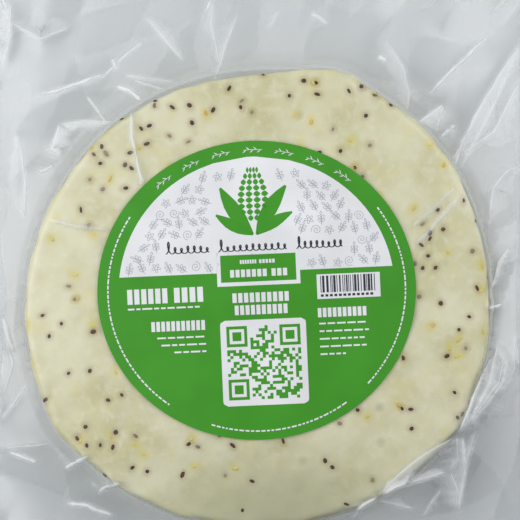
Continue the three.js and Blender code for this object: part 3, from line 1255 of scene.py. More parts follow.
    def _draw(self, stage: DrawStage) -> None:
        """Draws the film onto the stack, along its normal where it covers the stack.

        Args:
            stage: the number of time steps, and how hard and how smoothly it is drawn.
        """
        suction = stage.push * self.suction
        for _ in range(stage.steps):
            before = self.points.copy()
            normal = np.cross(np.gradient(self.points, axis=1), np.gradient(self.points, axis=0))
            normal /= np.linalg.norm(normal, axis=-1, keepdims=True) + 1e-9
            _, _, reach, hull = self._polar()
            beyond = reach - hull
            self.speed *= stage.damping
            self.speed -= suction * normal * (1.0 - smooth_step(0.3, 3.0, beyond))[..., None]
            above = self.points[..., 2] - self._skirt_height(np.maximum(beyond, 0.0))
            self.speed[..., 2] -= self.hold * above * smooth_step(0.0, 3.0, beyond)
            pace = np.linalg.norm(self.speed, axis=-1, keepdims=True)
            self.speed *= np.minimum(1.0, self.top_speed / np.maximum(pace, 1e-6))
            self.points += self.speed
            for _ in range(self.rounds):
                self._keep_lengths()
                self._keep_out(before)
            self.speed = self.points - before

    def _refine(self) -> None:
        """Puts a point between each two points, on a smooth curve through their neighbours."""
        points = self.points
        for axis in (0, 1):
            rows = np.moveaxis(points, axis, 0)
            padded = np.concatenate([2.0 * rows[:1] - rows[1:2], rows, 2.0 * rows[-1:] - rows[-2:-1]])
            between = (9.0 * (padded[1:-2] + padded[2:-1]) - padded[:-3] - padded[3:]) / 16.0
            finer = np.empty((2 * len(rows) - 1,) + rows.shape[1:])
            finer[0::2] = rows
            finer[1::2] = between
            points = np.moveaxis(finer, 0, axis)
        self.points = np.ascontiguousarray(points)
        self.speed = np.zeros_like(self.points)
        self.pitch = (self.pitch[0] / 2.0, self.pitch[1] / 2.0)

    def _calm(self) -> None:
        """Softens the fine ripples of the skirt."""
        _, _, reach, hull = self._polar()
        calm = self.points.copy()
        for _ in range(self.soften_rounds):
            beside = calm[1:-1, 2:] + calm[1:-1, :-2] + calm[2:, 1:-1] + calm[:-2, 1:-1]
            calm[1:-1, 1:-1] = 0.5 * calm[1:-1, 1:-1] + 0.125 * beside
        share = smooth_step(2.0, 8.0, reach - hull)
        self.points += share[..., None] * (calm - self.points)

    def _tighten(self) -> None:
        """Draws the film's fall at the stack's side in close to the cakes."""
        dx, dy, reach, hull = self._polar()
        beyond = np.maximum(reach - hull, 0.0)
        kept = self.closeness + (1.0 - self.closeness) * smooth_step(0.0, self.close_width, beyond)
        drawn = beyond * kept
        share = np.where(reach > hull, (hull + drawn) / reach, 1.0)
        self.points[..., 0] = dx * share
        self.points[..., 1] = dy * share + self.shape.centre_y

    def _crumple(self) -> None:
        """Breaks the loose film into flat facets between faint straight creases, and marks a painted sheen
        on the facets that slope one way.
        """
        rng = np.random.default_rng(self.crumple_seed)
        x, y = self.points[..., 0], self.points[..., 1]
        _, _, reach, hull = self._polar()
        relief, tilt = np.zeros(x.shape), np.zeros(x.shape)
        for wave in range(self.crumple_waves):
            heading, phase = rng.uniform(0.0, math.pi, 2)
            rate = math.pi / rng.uniform(*self.crumple_lengths)
            bent = Harmonics(self.crumple_bend_seed + wave, *self.crumple_bend_lengths).at(x, y)
            run = rate * (x * math.cos(heading) + y * math.sin(heading)) + phase + 0.5 * bent
            patch = Harmonics(self.crumple_share_seed + wave, *self.crumple_share_lengths).at(x, y)
            strength = smooth_step(-0.4, 1.0, patch)
            relief += strength * (np.abs(np.sin(run)) - 0.6)
            tilt += strength * np.sign(np.sin(2.0 * run)) * rng.choice([-1.0, 1.0])
        # Painted sheen on the facets that slope one way, by the sign of their tilt
        self.facet_sheen = smooth_step(-1.6, 1.6, tilt) * smooth_step(1.0, 6.0, reach - hull)
        self.points[..., 2] += self.crumple_height * relief * smooth_step(3.0, 12.0, reach - hull)
        self.points[..., 2] = np.maximum(self.points[..., 2], self.lowest)

    def _spare_creases(self) -> list[Crease]:
        """Seeded folds for the skirt's outer parts, which the photograph doesn't show.

        Returns:
            The folds.
        """
        rng = np.random.default_rng(self.seed + 1)
        creases: list[Crease] = []
        while len(creases) < self.spare_creases:
            x = rng.uniform(-self.flat[0] / 2, self.flat[0] / 2)
            y = rng.uniform(-self.flat[1] / 2, self.flat[1] / 2) - self.shape.centre_y
            shown = abs(x) < self.spare_beside and self.spare_rows[0] < y < self.spare_rows[1]
            heading = math.atan2(y, x) + rng.normal(0.0, 0.5)
            length, bow = rng.uniform(*self.spare_lengths), rng.normal(0.0, 1.2)
            height, width = rng.uniform(*self.spare_heights), rng.uniform(*self.spare_widths)
            if shown:
                continue
            step = np.array([math.cos(heading), math.sin(heading)]) * length / 2
            middle = np.array([x - bow * step[1] / length, y + bow * step[0] / length])
            path = tuple(tuple(map(float, point)) for point in ((x, y) - step, middle, (x, y) + step))
            creases.append(Crease(path, height, width, rng.uniform(*self.spare_whitening_and_highlight)))
        return creases

    def _seen(self) -> tuple[Array, Array]:
        """Places of the film's points beside the stack's axis, as the camera sees them.

        Returns:
            The places in x and y, at the height of the stack's top.
        """
        x, y = self.points[..., 0], self.points[..., 1] - self.shape.centre_y
        drop = self.view.height + self.shape.height - self.points[..., 2]
        middle_x, middle_y = self.view.centre
        seen_x = middle_x + (x - middle_x) * self.view.height / drop
        return seen_x, middle_y + (y - middle_y) * self.view.height / drop

    def _fold(self) -> Array:
        """Adds the sharp folds, and keeps the film flat under the label.

        Returns:
            How far each point is whitened: along a fold, with its painted highlight; in a patch of painted
                light on the skirt's right side; and with haze and painted light where the film leaves the
                stack.
        """
        x, y = self._seen()
        lift, white = np.zeros(x.shape), np.zeros(x.shape)
        for crease in self.folds:
            raised, whitened = crease.marks(x, y)
            lift += raised
            white = np.maximum(white, whitened)
        self.points[..., 2] += lift
        free = self.off_label(self.points[..., 0], self.points[..., 1])
        flat = self.shape.top(self.points[..., 0], self.points[..., 1]) + self.hug
        self.points[..., 2] = flat + (self.points[..., 2] - flat) * free
        _, _, reach, hull = self._polar()
        beyond = reach - hull
        # Haze where the film bridges from the stack, with painted light that evens out the shadow band
        # there
        bridge = np.exp(-((beyond / self.bridge_width) ** 2)) * smooth_step(-0.6, 0.6, beyond)
        # Painted light: a whiter patch on the skirt's right side, brighter on the facets with painted sheen
        sideways = (x - self.lit_patch_centre[0]) / self.lit_patch_spread[0]
        upward = (y - self.lit_patch_centre[1]) / self.lit_patch_spread[1]
        milky = np.exp(-(sideways ** 2) - upward ** 2) * (0.6 + 0.4 * self.facet_sheen)
        milky *= self.lit_patch_share * smooth_step(0.0, 3.0, beyond)
        white = np.maximum(self.soft_whitening_and_highlight * white * free, milky)
        return np.maximum(white, self.bridge_haze_and_light * bridge)

    def off_label(self, x: Array, y: Array) -> Array:
        """How far places are clear of the label.

        Args:
            x, y: the places, in millimetres.

        Returns:
            0 under the label, rising to 1 a little outside it.
        """
        (middle_x, middle_y), (wide, tall) = self.label_centre, self.label_half
        away = np.hypot((x - middle_x) / wide, (y - middle_y) / tall)
        return smooth_step(1.0, 1.0 + self.label_keep / wide, away)

    def ray_target(self) -> BVHTree:
        """The upper film as a target for rays.

        Returns:
            A search tree of its faces, in millimetres.
        """
        rows, columns = self.points.shape[:2]
        quads = grid_quads(np.arange(rows * columns).reshape(rows, columns)).reshape(-1, 4)
        return BVHTree.FromPolygons(self.points.reshape(-1, 3).tolist(), quads.tolist())

    def _lower_heights(self) -> Array:
        """Heights of the lower film: flat under the stack, close under the upper film beside it.

        Returns:
            The height under each point of the upper film.
        """
        _, _, reach, hull = self._polar()
        upper = self.points[..., 2]
        roof = self.shape.top(self.points[..., 0], self.points[..., 1])
        rise = np.clip((upper - self.root_height) / (roof - self.root_height), 0.0, 1.0)
        under_stack = self.root_height * (1.0 - rise) + 0.02
        near = 1.0 - smooth_step(1.0, 6.0, reach - hull)
        beside = upper - self.film_gap
        return np.minimum(beside, under_stack * near + beside * (1.0 - near))

    def _closed_mesh(self, white: Array, material: Material) -> Piece:
        """Upper film and a coarser lower film, joined along the pouch's edge.

        Args:
            white: how far each point of the upper film is whitened.
            material: the film's finish.

        Returns:
            The film's piece.
        """
        rows, columns = self.points.shape[:2]
        upper = np.arange(rows * columns).reshape(rows, columns)
        faces: list[Face] = grid_quads(upper).reshape(-1, 4).tolist()
        lower = upper.copy()
        inner = np.zeros_like(upper, bool)
        inner[2:-2:2, 2:-2:2] = True
        lower[inner] = rows * columns + np.arange(int(inner.sum()))
        below = self.points.copy()
        below[..., 2] = self._lower_heights()
        for row in range(0, rows - 1, 2):
            for column in range(0, columns - 1, 2):
                ring = [lower[row, column], lower[row + 2, column],
                        lower[row + 2, column + 2], lower[row, column + 2]]
                if row + 2 == rows - 1:
                    ring.insert(2, upper[row + 2, column + 1])
                if column == 0:
                    ring.insert(1, upper[row + 1, column])
                if column + 2 == columns - 1:
                    ring.insert(len(ring) - 1, upper[row + 1, column + 2])
                if row == 0:
                    ring.append(upper[row, column + 1])
                faces.append([int(corner) for corner in ring])
        points = np.concatenate([self.points.reshape(-1, 3), below[inner]])
        film = add_mesh("pouch_film", points, faces, material)
        _, _, reach, hull = self._polar()
        loose = smooth_step(-2.0, 6.0, reach - hull)
        plain = np.zeros(int(inner.sum()))
        # The crease mark holds the folds' whitening and painted highlights and the patches of painted light
        set_attribute(film, "crease", np.concatenate([white.ravel(), plain]))
        set_attribute(film, "painted_facet_sheen", np.concatenate([self.facet_sheen.ravel(), plain]))
        set_attribute(film, "loose", np.concatenate([loose.ravel(), loose[inner]]))
        return film

    def build(self, material: Material) -> Piece:
        """Draws the film round the stack and makes it a closed mesh.

        Args:
            material: the film's finish.

        Returns:
            The film's piece.
        """
        self._buckle()
        for number, stage in enumerate(self.stages):
            if number > 0:
                self._refine()
            self._draw(stage)
        self._calm()
        self._tighten()
        self._crumple()
        film = self._closed_mesh(self._fold(), material)
        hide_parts(POUCH_NODE)
        return finish_piece(film)

    def sample(self, across: Array, upward: Array) -> Array:
        """Finds points of the upper film by their place on the flat film.

        Args:
            across, upward: distances in from the flat film's left and lower edges.

        Returns:
            The points, in millimetres.
        """
        rows, columns = self.points.shape[:2]
        column = np.clip(across / self.pitch[0], 0.0, columns - 1.001)
        row = np.clip(upward / self.pitch[1], 0.0, rows - 1.001)
        left, low = column.astype(int), row.astype(int)
        right, up = (column - left)[..., None], (row - low)[..., None]
        points = self.points
        return ((points[low, left] * (1 - right) + points[low, left + 1] * right) * (1 - up)
                + (points[low + 1, left] * (1 - right) + points[low + 1, left + 1] * right) * up)


@dataclass(frozen=True)
class RidgePoint:
    """One point across a fold: its side and rise as shares, and how far it is whitened, with a painted
    highlight, or darkened with a painted shade.
    """

    side: float
    rise: float
    white: float
    shade: float


@dataclass
class FoldRidges:
    """Crisp narrow folds that stand on the film along its creases, with painted highlights and painted
    shade across them.
    """

    film: PouchFilm
    step: float = 0.7
    spread: float = 1.05
    boost: float = 1.2
    most_rise: float = 0.5
    lift: float = 0.03
    wander: float = 0.16
    wander_seed: int = 200
    wander_lengths: Pair = (7.0, 24.0)
    ragged: float = 0.3
    ragged_seed: int = 300
    ragged_lengths: Pair = (3.0, 12.0)
    ragged_rate: float = 30.0
    ragged_limits: Pair = (0.4, 1.6)
    waves: int = 6
    end_share: float = 0.14
    end_width: float = 0.35
    blade_end: float = 0.1
    level: Pair = (0.3, 0.75)
    steep_share: float = 0.12
    # Across a ridge: a painted highlight near its crest and a painted shade on its far side
    profile: tuple[RidgePoint, ...] = (
        RidgePoint(-1.0, 0.0, 0.0, 0.0), RidgePoint(-0.55, 0.35, 0.65, 0.0),
        RidgePoint(-0.1, 1.0, 1.0, 0.0), RidgePoint(0.35, 0.65, 0.75, 0.0),
        RidgePoint(0.7, 0.15, 0.3, 1.0), RidgePoint(1.0, 0.0, 0.0, 1.0))
    # Across a blade: a painted sheen, brightest at the crisp edge and fading across the facet
    blade_profile: tuple[RidgePoint, ...] = (
        RidgePoint(-0.1, 0.0, 0.0, 0.0), RidgePoint(0.0, 0.6, 1.0, 0.0), RidgePoint(0.1, 0.4, 0.6, 0.0),
        RidgePoint(0.4, 0.2, 0.42, 0.0), RidgePoint(0.75, 0.05, 0.2, 0.0), RidgePoint(1.0, 0.0, 0.0, 0.0))

    def _spine(self, crease: Crease, number: int) -> tuple[Array, Array, Array]:
        """A crease's middle line with small wanders.

        Args:
            crease: the fold.
            number: the fold's number, as a seed.

        Returns:
            Places along the line, unit directions to its side, and shares of its length.
        """
        corners = np.array(crease.path)
        passed = np.concatenate([[0.0], np.cumsum(np.hypot(*np.diff(corners, axis=0).T))])
        run = np.linspace(0.0, passed[-1], max(5, round(passed[-1] / self.step)))
        line = np.stack([np.interp(run, passed, corners[:, axis]) for axis in (0, 1)], 1)
        along = np.gradient(line, axis=0)
        along /= np.linalg.norm(along, axis=1, keepdims=True)
        side = np.stack([-along[:, 1], along[:, 0]], 1)
        waves = Harmonics(self.wander_seed + number, *self.wander_lengths, self.waves)
        uneven = waves.at(run, np.zeros_like(run))
        return line + self.wander * uneven[:, None] * side, side, run / passed[-1]

    def _on_film(self, target: BVHTree, places: Array) -> tuple[Array, Array] | None:
        """Points of the film that the camera sees at places beside the stack's axis.

        Args:
            target: the upper film.
            places: places as the camera sees them, one row each.

        Returns:
            The points and how level the film is at each, or None if a place is off the film.
        """
        film = self.film
        height, centre_y = film.shape.height, film.shape.centre_y
        eye = Vector((film.view.centre[0], film.view.centre[1] + centre_y, height + film.view.height))
        hits = [target.ray_cast(eye, Vector((x, y + centre_y, height)) - eye) for x, y in places]
        if any(hit[0] is None for hit in hits):
            return None
        return np.array([hit[0] for hit in hits]), np.array([abs(hit[1].z) for hit in hits])

    def _half_widths(self, crease: Crease, number: int, share: Array, taper: Array) -> Array:
        """Half width of a fold along its length, uneven and narrower at its ends.

        Args:
            crease: the fold.
            number: the fold's number, as a seed.
            share: shares of the fold's length.
            taper: how far the fold has risen there, from 0 to 1.

        Returns:
            The half widths, negative for a blade to the right.
        """
        waves = Harmonics(self.ragged_seed + number, *self.ragged_lengths, self.waves)
        ragged = 1.0 + self.ragged * waves.at(share * self.ragged_rate, np.zeros_like(share))
        if crease.blade:
            half = crease.blade * (self.blade_end + (1.0 - self.blade_end) * np.sin(np.pi * share))
        else:
            half = self.spread * crease.line_width * (self.end_width + (1.0 - self.end_width) * taper)
        return half * np.clip(ragged, *self.ragged_limits)

    def _ribbon(self, target: BVHTree, crease: Crease, number: int) -> tuple[Array, Array, Array] | None:
        """One fold as a ribbon laid on the film.

        Args:
            target: the upper film.
            crease: the fold.
            number: the fold's number, as a seed.

        Returns:
            Rows of points across the fold, their whitening with painted highlight and their painted shade,
            or None if it is off the film.
        """
        line, side, share = self._spine(crease, number)
        taper = smooth_step(0.0, self.end_share, share) * smooth_step(0.0, self.end_share, 1.0 - share)
        profile = self.blade_profile if crease.blade else self.profile
        half = self._half_widths(crease, number, share, taper)
        places = np.stack([line + (point.side * half)[:, None] * side for point in profile], 1)
        found = self._on_film(target, places.reshape(-1, 2))
        if found is None:
            return None
        laid = found[0].reshape(len(line), len(profile), 3)
        level = smooth_step(*self.level, found[1].reshape(len(line), len(profile)))
        strength = taper[:, None] * self.film.off_label(laid[..., 0], laid[..., 1])
        strength *= self.steep_share + (1.0 - self.steep_share) * level
        rise = min(crease.height, self.most_rise) * strength
        laid[..., 2] += self.lift + rise * np.array([point.rise for point in profile])
        white = self.boost * crease.whitening_and_highlight * strength * np.array([point.white for point in profile])
        shade = crease.shadow * np.array([point.shade for point in profile])
        return laid, np.clip(white, 0.0, 1.0), np.broadcast_to(shade, white.shape)

    def build(self, material: Material) -> Piece:
        """Makes every fold as one piece.

        Args:
            material: the film's finish.

        Returns:
            The folds' piece.
        """
        target = self.film.ray_target()
        points: list[Array] = []
        whites: list[Array] = []
        shades: list[Array] = []
        faces: list[Face] = []
        used = 0
        for number, crease in enumerate(self.film.folds):
            ribbon = self._ribbon(target, crease, number)
            if ribbon is None:
                continue
            laid, white, shade = ribbon
            points.append(laid.reshape(-1, 3))
            whites.append(white.ravel())
            shades.append(shade.ravel())
            index = np.arange(white.size).reshape(white.shape) + used
            faces += strip_quads(index, crease.blade < 0.0).tolist()
            used += white.size
        piece = add_mesh("film_folds", np.concatenate(points), faces, material)
        set_attribute(piece, "crease", np.concatenate(whites))
        set_attribute(piece, "shade", np.concatenate(shades))
        set_attribute(piece, "loose", np.ones(used))
        return finish_piece(piece)


@dataclass
class WeldBands:
    """Ribbed weld bands along the pouch's four edges."""

    film: PouchFilm
    width: float = 6.0
    inset: float = 1.6
    end_inset: float = 12.0
    ribs: int = 6
    rib_height: float = 0.12
    lift: float = 0.06
    step: float = 2.0

    def _band(self, start: Pair, along: Pair, inward: Pair, length: float) -> tuple[Array, list[Face]]:
        """One ribbed strip on the film.

        Args:
            start: its first corner on the flat film.
            along: unit direction of its length.
            inward: unit direction of its width.
            length: its length.

        Returns:
            Its points and faces.
        """
        far = np.linspace(0.0, length, round(length / self.step) + 1)
        side = np.linspace(0.0, self.width, 2 * self.ribs + 1)
        run, over = np.meshgrid(far, side, indexing="ij")
        points = self.film.sample(start[0] + run * along[0] + over * inward[0],
                                  start[1] + run * along[1] + over * inward[1])
        ridge = np.arange(2 * self.ribs + 1) % 2
        points[..., 2] += self.lift + self.rib_height * ridge
        index = np.arange(run.size).reshape(run.shape)
        turned = along[0] * inward[1] - along[1] * inward[0] > 0.0
        return points.reshape(-1, 3), strip_quads(index, turned).tolist()

    def build(self) -> Piece:
        """Makes the four bands as one piece.

        Returns:
            The bands' piece.
        """
        wide, tall = self.film.flat
        bands = [
            self._band((self.inset, self.inset), (0, 1), (1, 0), tall - 2 * self.inset),
            self._band((wide - self.inset, self.inset), (0, 1), (-1, 0), tall - 2 * self.inset),
            self._band((self.inset, self.inset), (1, 0), (0, 1), wide - 2 * self.inset),
            self._band((self.inset, tall - self.end_inset), (1, 0), (0, -1), wide - 2 * self.inset),
        ]
        points: list[Array] = []
        faces: list[Face] = []
        used = 0
        for band_points, band_faces in bands:
            faces += [[corner + used for corner in face] for face in band_faces]
            points.append(band_points)
            used += len(band_points)
        piece = add_mesh("weld_bands", np.concatenate(points), faces, WeldFinish().build())
        return finish_piece(piece)


class Ink(Enum):
    """Layers of the label's print: name and height step above the label's face."""

    WHITE = ("label_white_fields", 1)
    GREEN = ("label_green_fields", 2)
    GREY = ("label_grey_sprigs", 2)
    DARK = ("label_dark_marks", 2)
    BRIGHT = ("label_white_bars", 3)


@dataclass(frozen=True)
class Box:
    """An upright rectangle on the label, in millimetres from the label's centre."""

    left: float
    right: float
    low: float
    high: float

    def holds(self, x: float, y: float) -> bool:
        """Whether a place is inside."""
        return self.left < x < self.right and self.low < y < self.high


@dataclass(frozen=True)
class BlockRow:
    """A row of plain blocks, with the share of their pitch that stays open."""

    box: Box
    blocks: int
    gap: float = 0.26


@dataclass(frozen=True)
class LineBlock:
    """Thin broken lines, with the share of the width that each line takes."""

    left: float
    right: float
    top: float
    step: float
    shares: tuple[float, ...]
    from_right: bool = False


@dataclass
class InkLayer:
    """Flat shapes of one ink, gathered into one mesh that follows the label's face."""

    finish: PrintFinish
    bar_step: float = 4.0
    arc_step: float = 3.0
    points: list[Pair] = field(default_factory=list)
    faces: list[Face] = field(default_factory=list)

    def grid(self, x: Array, y: Array) -> None:
        """Adds a sheet of quads.

        Args:
            x, y: grids of places on the label.
        """
        quads = grid_quads(np.arange(x.size).reshape(x.shape) + len(self.points))
        area = np.sum((x[:-1, 1:] - x[:-1, :-1]) * (y[1:, :-1] - y[:-1, :-1])
                      - (y[:-1, 1:] - y[:-1, :-1]) * (x[1:, :-1] - x[:-1, :-1]))
        quads = quads if area > 0.0 else quads[..., ::-1]
        self.points += list(zip(x.ravel().tolist(), y.ravel().tolist()))
        self.faces += quads.reshape(-1, 4).tolist()

    def stroke(self, path: Array, widths: Array | float) -> None:
        """Adds a ribbon.

        Args:
            path: places along its middle, one row each.
            widths: its width, or its width at each place.
        """
        along = np.gradient(path, axis=0)
        along /= np.linalg.norm(along, axis=1, keepdims=True) + 1e-9
        half = np.broadcast_to(widths, len(path))[:, None] / 2.0
        side = np.stack([-along[:, 1], along[:, 0]], 1) * half
        edges = np.stack([path - side, path + side])
        self.grid(edges[..., 0], edges[..., 1])

    def bar(self, box: Box) -> None:
        """Adds a rectangle.

        Args:
            box: its place.
        """
        columns = max(2, math.ceil((box.right - box.left) / self.bar_step) + 1)
        rows = max(2, math.ceil((box.high - box.low) / self.bar_step) + 1)
        across = np.linspace(box.left, box.right, columns)
        self.grid(*np.meshgrid(across, np.linspace(box.low, box.high, rows)))

    def row(self, row: BlockRow) -> None:
        """Adds a row of blocks.

        Args:
            row: their place and number.
        """
        box = row.box
        pitch = (box.right - box.left) / (row.blocks - row.gap)
        for block in range(row.blocks):
            start = box.left + block * pitch
            self.bar(Box(start, start + (1.0 - row.gap) * pitch, box.low, box.high))

    def arc(self, half: Pair, start: float, end: float, width: float) -> None:
        """Adds a ribbon along part of an oval round the label's centre.

        Args:
            half: the oval's half sizes.
            start, end: the part's ends, in degrees.
            width: the ribbon's width.
        """
        count = max(3, math.ceil(abs(end - start) / self.arc_step) + 1)
        turn = np.radians(np.linspace(start, end, count))
        self.stroke(np.stack([half[0] * np.cos(turn), half[1] * np.sin(turn)], 1), width)

    @staticmethod
    def _leaf_path(foot: Pair, heading: float, length: float, share: Array, bulge: Array) -> Array:
        """Places beside a straight line from a foot point.

        Args:
            foot: the line's start.
            heading: its direction, in degrees.
            length: its length.
            share: shares of the length.
            bulge: distances to the left of the line.

        Returns:
            The places, one row each.
        """
        turn = math.radians(heading)
        return np.stack([foot[0] + length * share * math.cos(turn) - bulge * math.sin(turn),
                         foot[1] + length * share * math.sin(turn) + bulge * math.cos(turn)], 1)

    def leaf(self, foot: Pair, heading: float, length: float, width: float) -> None:
        """Adds a pointed, slightly bent leaf.

        Args:
            foot: the leaf's foot.
            heading: its direction, in degrees.
            length, width: its size.
        """
        share = np.linspace(0.0, 1.0, 7)
        path = self._leaf_path(foot, heading, length, share, 0.12 * length * share * (1.0 - share))
        self.stroke(path, width * np.sin(np.pi * np.clip(share, 0.03, 0.97)) ** 0.8)

    def leaf_line(self, foot: Pair, heading: float, length: float, line: float) -> None:
        """Adds the drawn outline of a leaf.

        Args:
            foot: the leaf's foot.
            heading: its direction, in degrees.
            length: its length.
            line: the pen's width.
        """
        out = np.linspace(0.0, 1.0, 7)
        share = np.concatenate([out, out[-2::-1]])
        bulge = 0.25 * length * np.sin(np.pi * share) * np.repeat([1.0, -1.0], [7, 6])
        self.stroke(self._leaf_path(foot, heading, length, share, bulge), line)


@dataclass
class RoundLabel:
    """The round label: a thin printed disc on the film, with fields of colour and plain marks."""

    shape: StackShape
    turn: float = 2.5
    back_gap: float = 0.12
    thickness: float = 0.12
    ink_step: float = 0.025
    sectors: int = 180
    rings: int = 12
    field_half: Pair = (46.0, 44.6)
    field_floor: float = 6.2
    ring_half: Pair = (49.6, 46.9)
    ring_lines: tuple[Pair, ...] = ((146.0, 233.0), (250.0, 306.0), (-44.0, 34.0))
    ring_line_width: float = 0.5
    ring_sprigs: Pair = (52.0, 132.0)
    ring_sprig_pitch: float = 12.4
    ring_sprig_half: float = 3.6
    ring_pen: float = 0.16
    ring_leaves: tuple[float, ...] = (-3.0, -1.6, -0.2, 1.2, 2.6)
    flourish_band: Pair = (13.3, 17.4)
    flourish_runs: tuple[Pair, ...] = ((-29.8, -14.8), (-12.2, 11.0), (13.8, 29.6))
    loop_pitch: float = 2.1
    loop_points: int = 14
    sprig_length: float = 3.3
    sprig_pitch: Pair = (4.3, 3.7)
    sprig_limit: float = 0.94
    kept_free: tuple[Box, ...] = (
        Box(-15.0, 16.7, 0.0, 15.0), Box(-14.5, 14.5, 17.0, 37.0), Box(-6.5, 6.5, 17.0, 50.0),
        Box(-31.3, 31.1, 11.7, 18.8))
    pen: float = 0.17
    emblem_foot: Pair = (0.2, 18.6)
    kernel_rows: int = 9
    kernel_columns: int = 4
    kernel_pitch: float = 2.0
    inset_border: Box = Box(-13.0, 14.7, 1.7, 13.3)
    inset_field: Box = Box(-11.7, 13.4, 3.0, 12.0)
    print_blocks: tuple[BlockRow | LineBlock, ...] = (
        BlockRow(Box(-5.2, 0.3, 9.0, 10.3), 7), BlockRow(Box(1.2, 6.4, 9.0, 10.3), 5),
        BlockRow(Box(-8.6, 3.6, 4.6, 7.1), 7), BlockRow(Box(5.2, 10.4, 4.6, 7.1), 3),
        BlockRow(Box(-43.2, -29.8, -3.0, 2.0), 6), BlockRow(Box(-27.6, -17.9, -3.0, 2.0), 4),
        LineBlock(-43.2, -17.9, -4.6, 1.6, (1.0,)),
        BlockRow(Box(-35.6, -17.7, -12.4, -9.1), 11),
        LineBlock(-33.8, -17.6, -14.6, 2.45, (1.0, 0.92, 0.66), from_right=True),
        BlockRow(Box(-8.2, 10.6, -3.9, -0.7), 10), BlockRow(Box(-7.6, 10.0, -8.0, -4.8), 10),
        BlockRow(Box(20.0, 36.2, -9.9, -6.8), 10),
        LineBlock(20.3, 37.3, -12.0, 2.55, (0.95, 1.0, 0.88, 0.98, 0.5)))
    stripe_box: Box = Box(20.1, 41.2, -3.8, 4.4)
    stripe_run: Pair = (21.3, 39.4)
    stripe_rows: tuple[Pair, Pair] = ((-1.7, 3.9), (-3.1, -2.3))
    mosaic_corner: Pair = (-10.7, -11.7)
    mosaic_side: float = 24.6
    mosaic_margin: float = 2.0
    mosaic_bevel: float = 1.6
    mosaic_cells: int = 25
    mosaic_fill: float = 0.48
    eye_cells: int = 7
    seed: int = 5
    green: Colour = srgb(67, 155, 37)
    white: Colour = srgb(239, 240, 243)
    grey: Colour = srgb(172, 176, 186)
    dark: Colour = srgb(52, 54, 66)

    def __post_init__(self) -> None:
        """Reads the label's place from the frame and sets out its inks."""
        self.centre, self.half = node_place(LABEL_NODE)
        colours = {Ink.WHITE: self.white, Ink.GREEN: self.green, Ink.GREY: self.grey,
                   Ink.DARK: self.dark, Ink.BRIGHT: self.white}
        self.layers = {ink: InkLayer(PrintFinish(ink.value[0], colour)) for ink, colour in colours.items()}
        self.rng = np.random.default_rng(self.seed)

    def _place(self, points: Array, lift: float) -> Array:
        """Turns label places into points of the pack.

        Args:
            points: places on the label, one row each.
            lift: their height above the film.

        Returns:
            The points, one row each.
        """
        turn = math.radians(self.turn)
        x = self.centre[0] + points[:, 0] * math.cos(turn) - points[:, 1] * math.sin(turn)
        y = self.centre[1] + points[:, 0] * math.sin(turn) + points[:, 1] * math.cos(turn)
        return np.stack([x, y, self.shape.top(x, y) + lift], 1)

    def _disc(self) -> Piece:
        """The label's stock: a closed thin disc, printed green.

        Returns:
            The stock's piece.
        """
        angle = np.linspace(0.0, 2.0 * math.pi, self.sectors, endpoint=False)
        rim = np.stack([self.half[0] * np.cos(angle), self.half[1] * np.sin(angle)], 1)
        shares = np.linspace(0.0, 1.0, self.rings + 1)[1:]
        upper = [self._place(rim * share, self.back_gap + self.thickness) for share in shares]
        lower = [self._place(rim * share, self.back_gap) for share in shares[::-1]]
        ends = [self._place(np.zeros((1, 2)), self.back_gap + self.thickness),
                self._place(np.zeros((1, 2)), self.back_gap)]
        points = np.concatenate(upper + lower + ends)
        faces = ring_faces(2 * self.rings, self.sectors)
        material = PrintFinish("label_green_stock", self.green).build()
        piece = add_mesh("label_stock", points, faces, material)
        piece.data.set_sharp_from_angle(angle=math.radians(50.0))
        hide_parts(LABEL_NODE)
        return piece

    def _white_field(self) -> None:
        """White upper part of the label, an oval cut by a straight floor."""
        wide, tall = self.field_half
        rise = np.linspace(self.field_floor, tall - 0.02, 24)
        half = wide * np.sqrt(1.0 - (rise / tall) ** 2)
        share = np.linspace(-1.0, 1.0, 33)
        x = half[:, None] * share
        self.layers[Ink.WHITE].grid(x, np.broadcast_to(rise[:, None], x.shape))

    def _sprig(self, x: float, y: float, heading: float) -> None:
        """One drawn stem with pairs of leaves.

        Args:
            x, y: a place near its middle.
            heading: its direction, in degrees.
        """
        layer = self.layers[Ink.GREY]
        along = np.array([math.cos(math.radians(heading)), math.sin(math.radians(heading))])
        foot = np.array([x, y]) - 0.6 * self.sprig_length * along
        tip = foot + self.sprig_length * along
        layer.stroke(np.stack([foot, tip]), self.pen)
        for share in (0.3, 0.65):
            joint = foot + share * (tip - foot)
            for side in (-48.0, 48.0):
                layer.leaf_line(joint, heading + side, 0.46 * self.sprig_length, self.pen)
        layer.leaf_line(tip, heading, 0.4 * self.sprig_length, self.pen)

    def _round(self, x: float, y: float, reach: Array | float, turn: Array) -> None:
        """Draws a grey line at a reach round a place, over turns in radians."""
        path = np.stack([x + reach * np.cos(turn), y + reach * np.sin(turn)], 1)
        self.layers[Ink.GREY].stroke(path, self.pen)

    def _sprigs(self) -> None:
        """Drawn sprigs, flowers and curls in staggered rows over the white part."""
        around = np.linspace(0.0, 2.0 * math.pi, 31)
        coil = np.linspace(0.0, 4.0 * math.pi, 25)
        (wide, tall), (half_wide, half_tall) = self.sprig_pitch, self.field_half
        for row, y in enumerate(np.arange(self.field_floor + 2.2, half_tall, tall)):
            for x in np.arange(-half_wide, half_wide, wide) + 0.5 * wide * (row % 2):
                x, rise = x + self.rng.uniform(-0.5, 0.5), y + self.rng.uniform(-0.5, 0.5)
                heading, motif = self.rng.uniform(20.0, 160.0), self.rng.random()
                outside = math.hypot(x / half_wide, rise / half_tall) > self.sprig_limit
                if outside or any(box.holds(x, rise) for box in self.kept_free):
                    continue
                if motif < 0.6:
                    self._sprig(x, rise, heading)
                elif motif < 0.85:
                    self._round(x, rise, 1.6 * (0.7 + 0.3 * np.cos(5.0 * around + heading)), around)
                    self._round(x, rise, 0.5, around)
                else:
                    self._round(x, rise, 0.14 * coil, coil + heading)

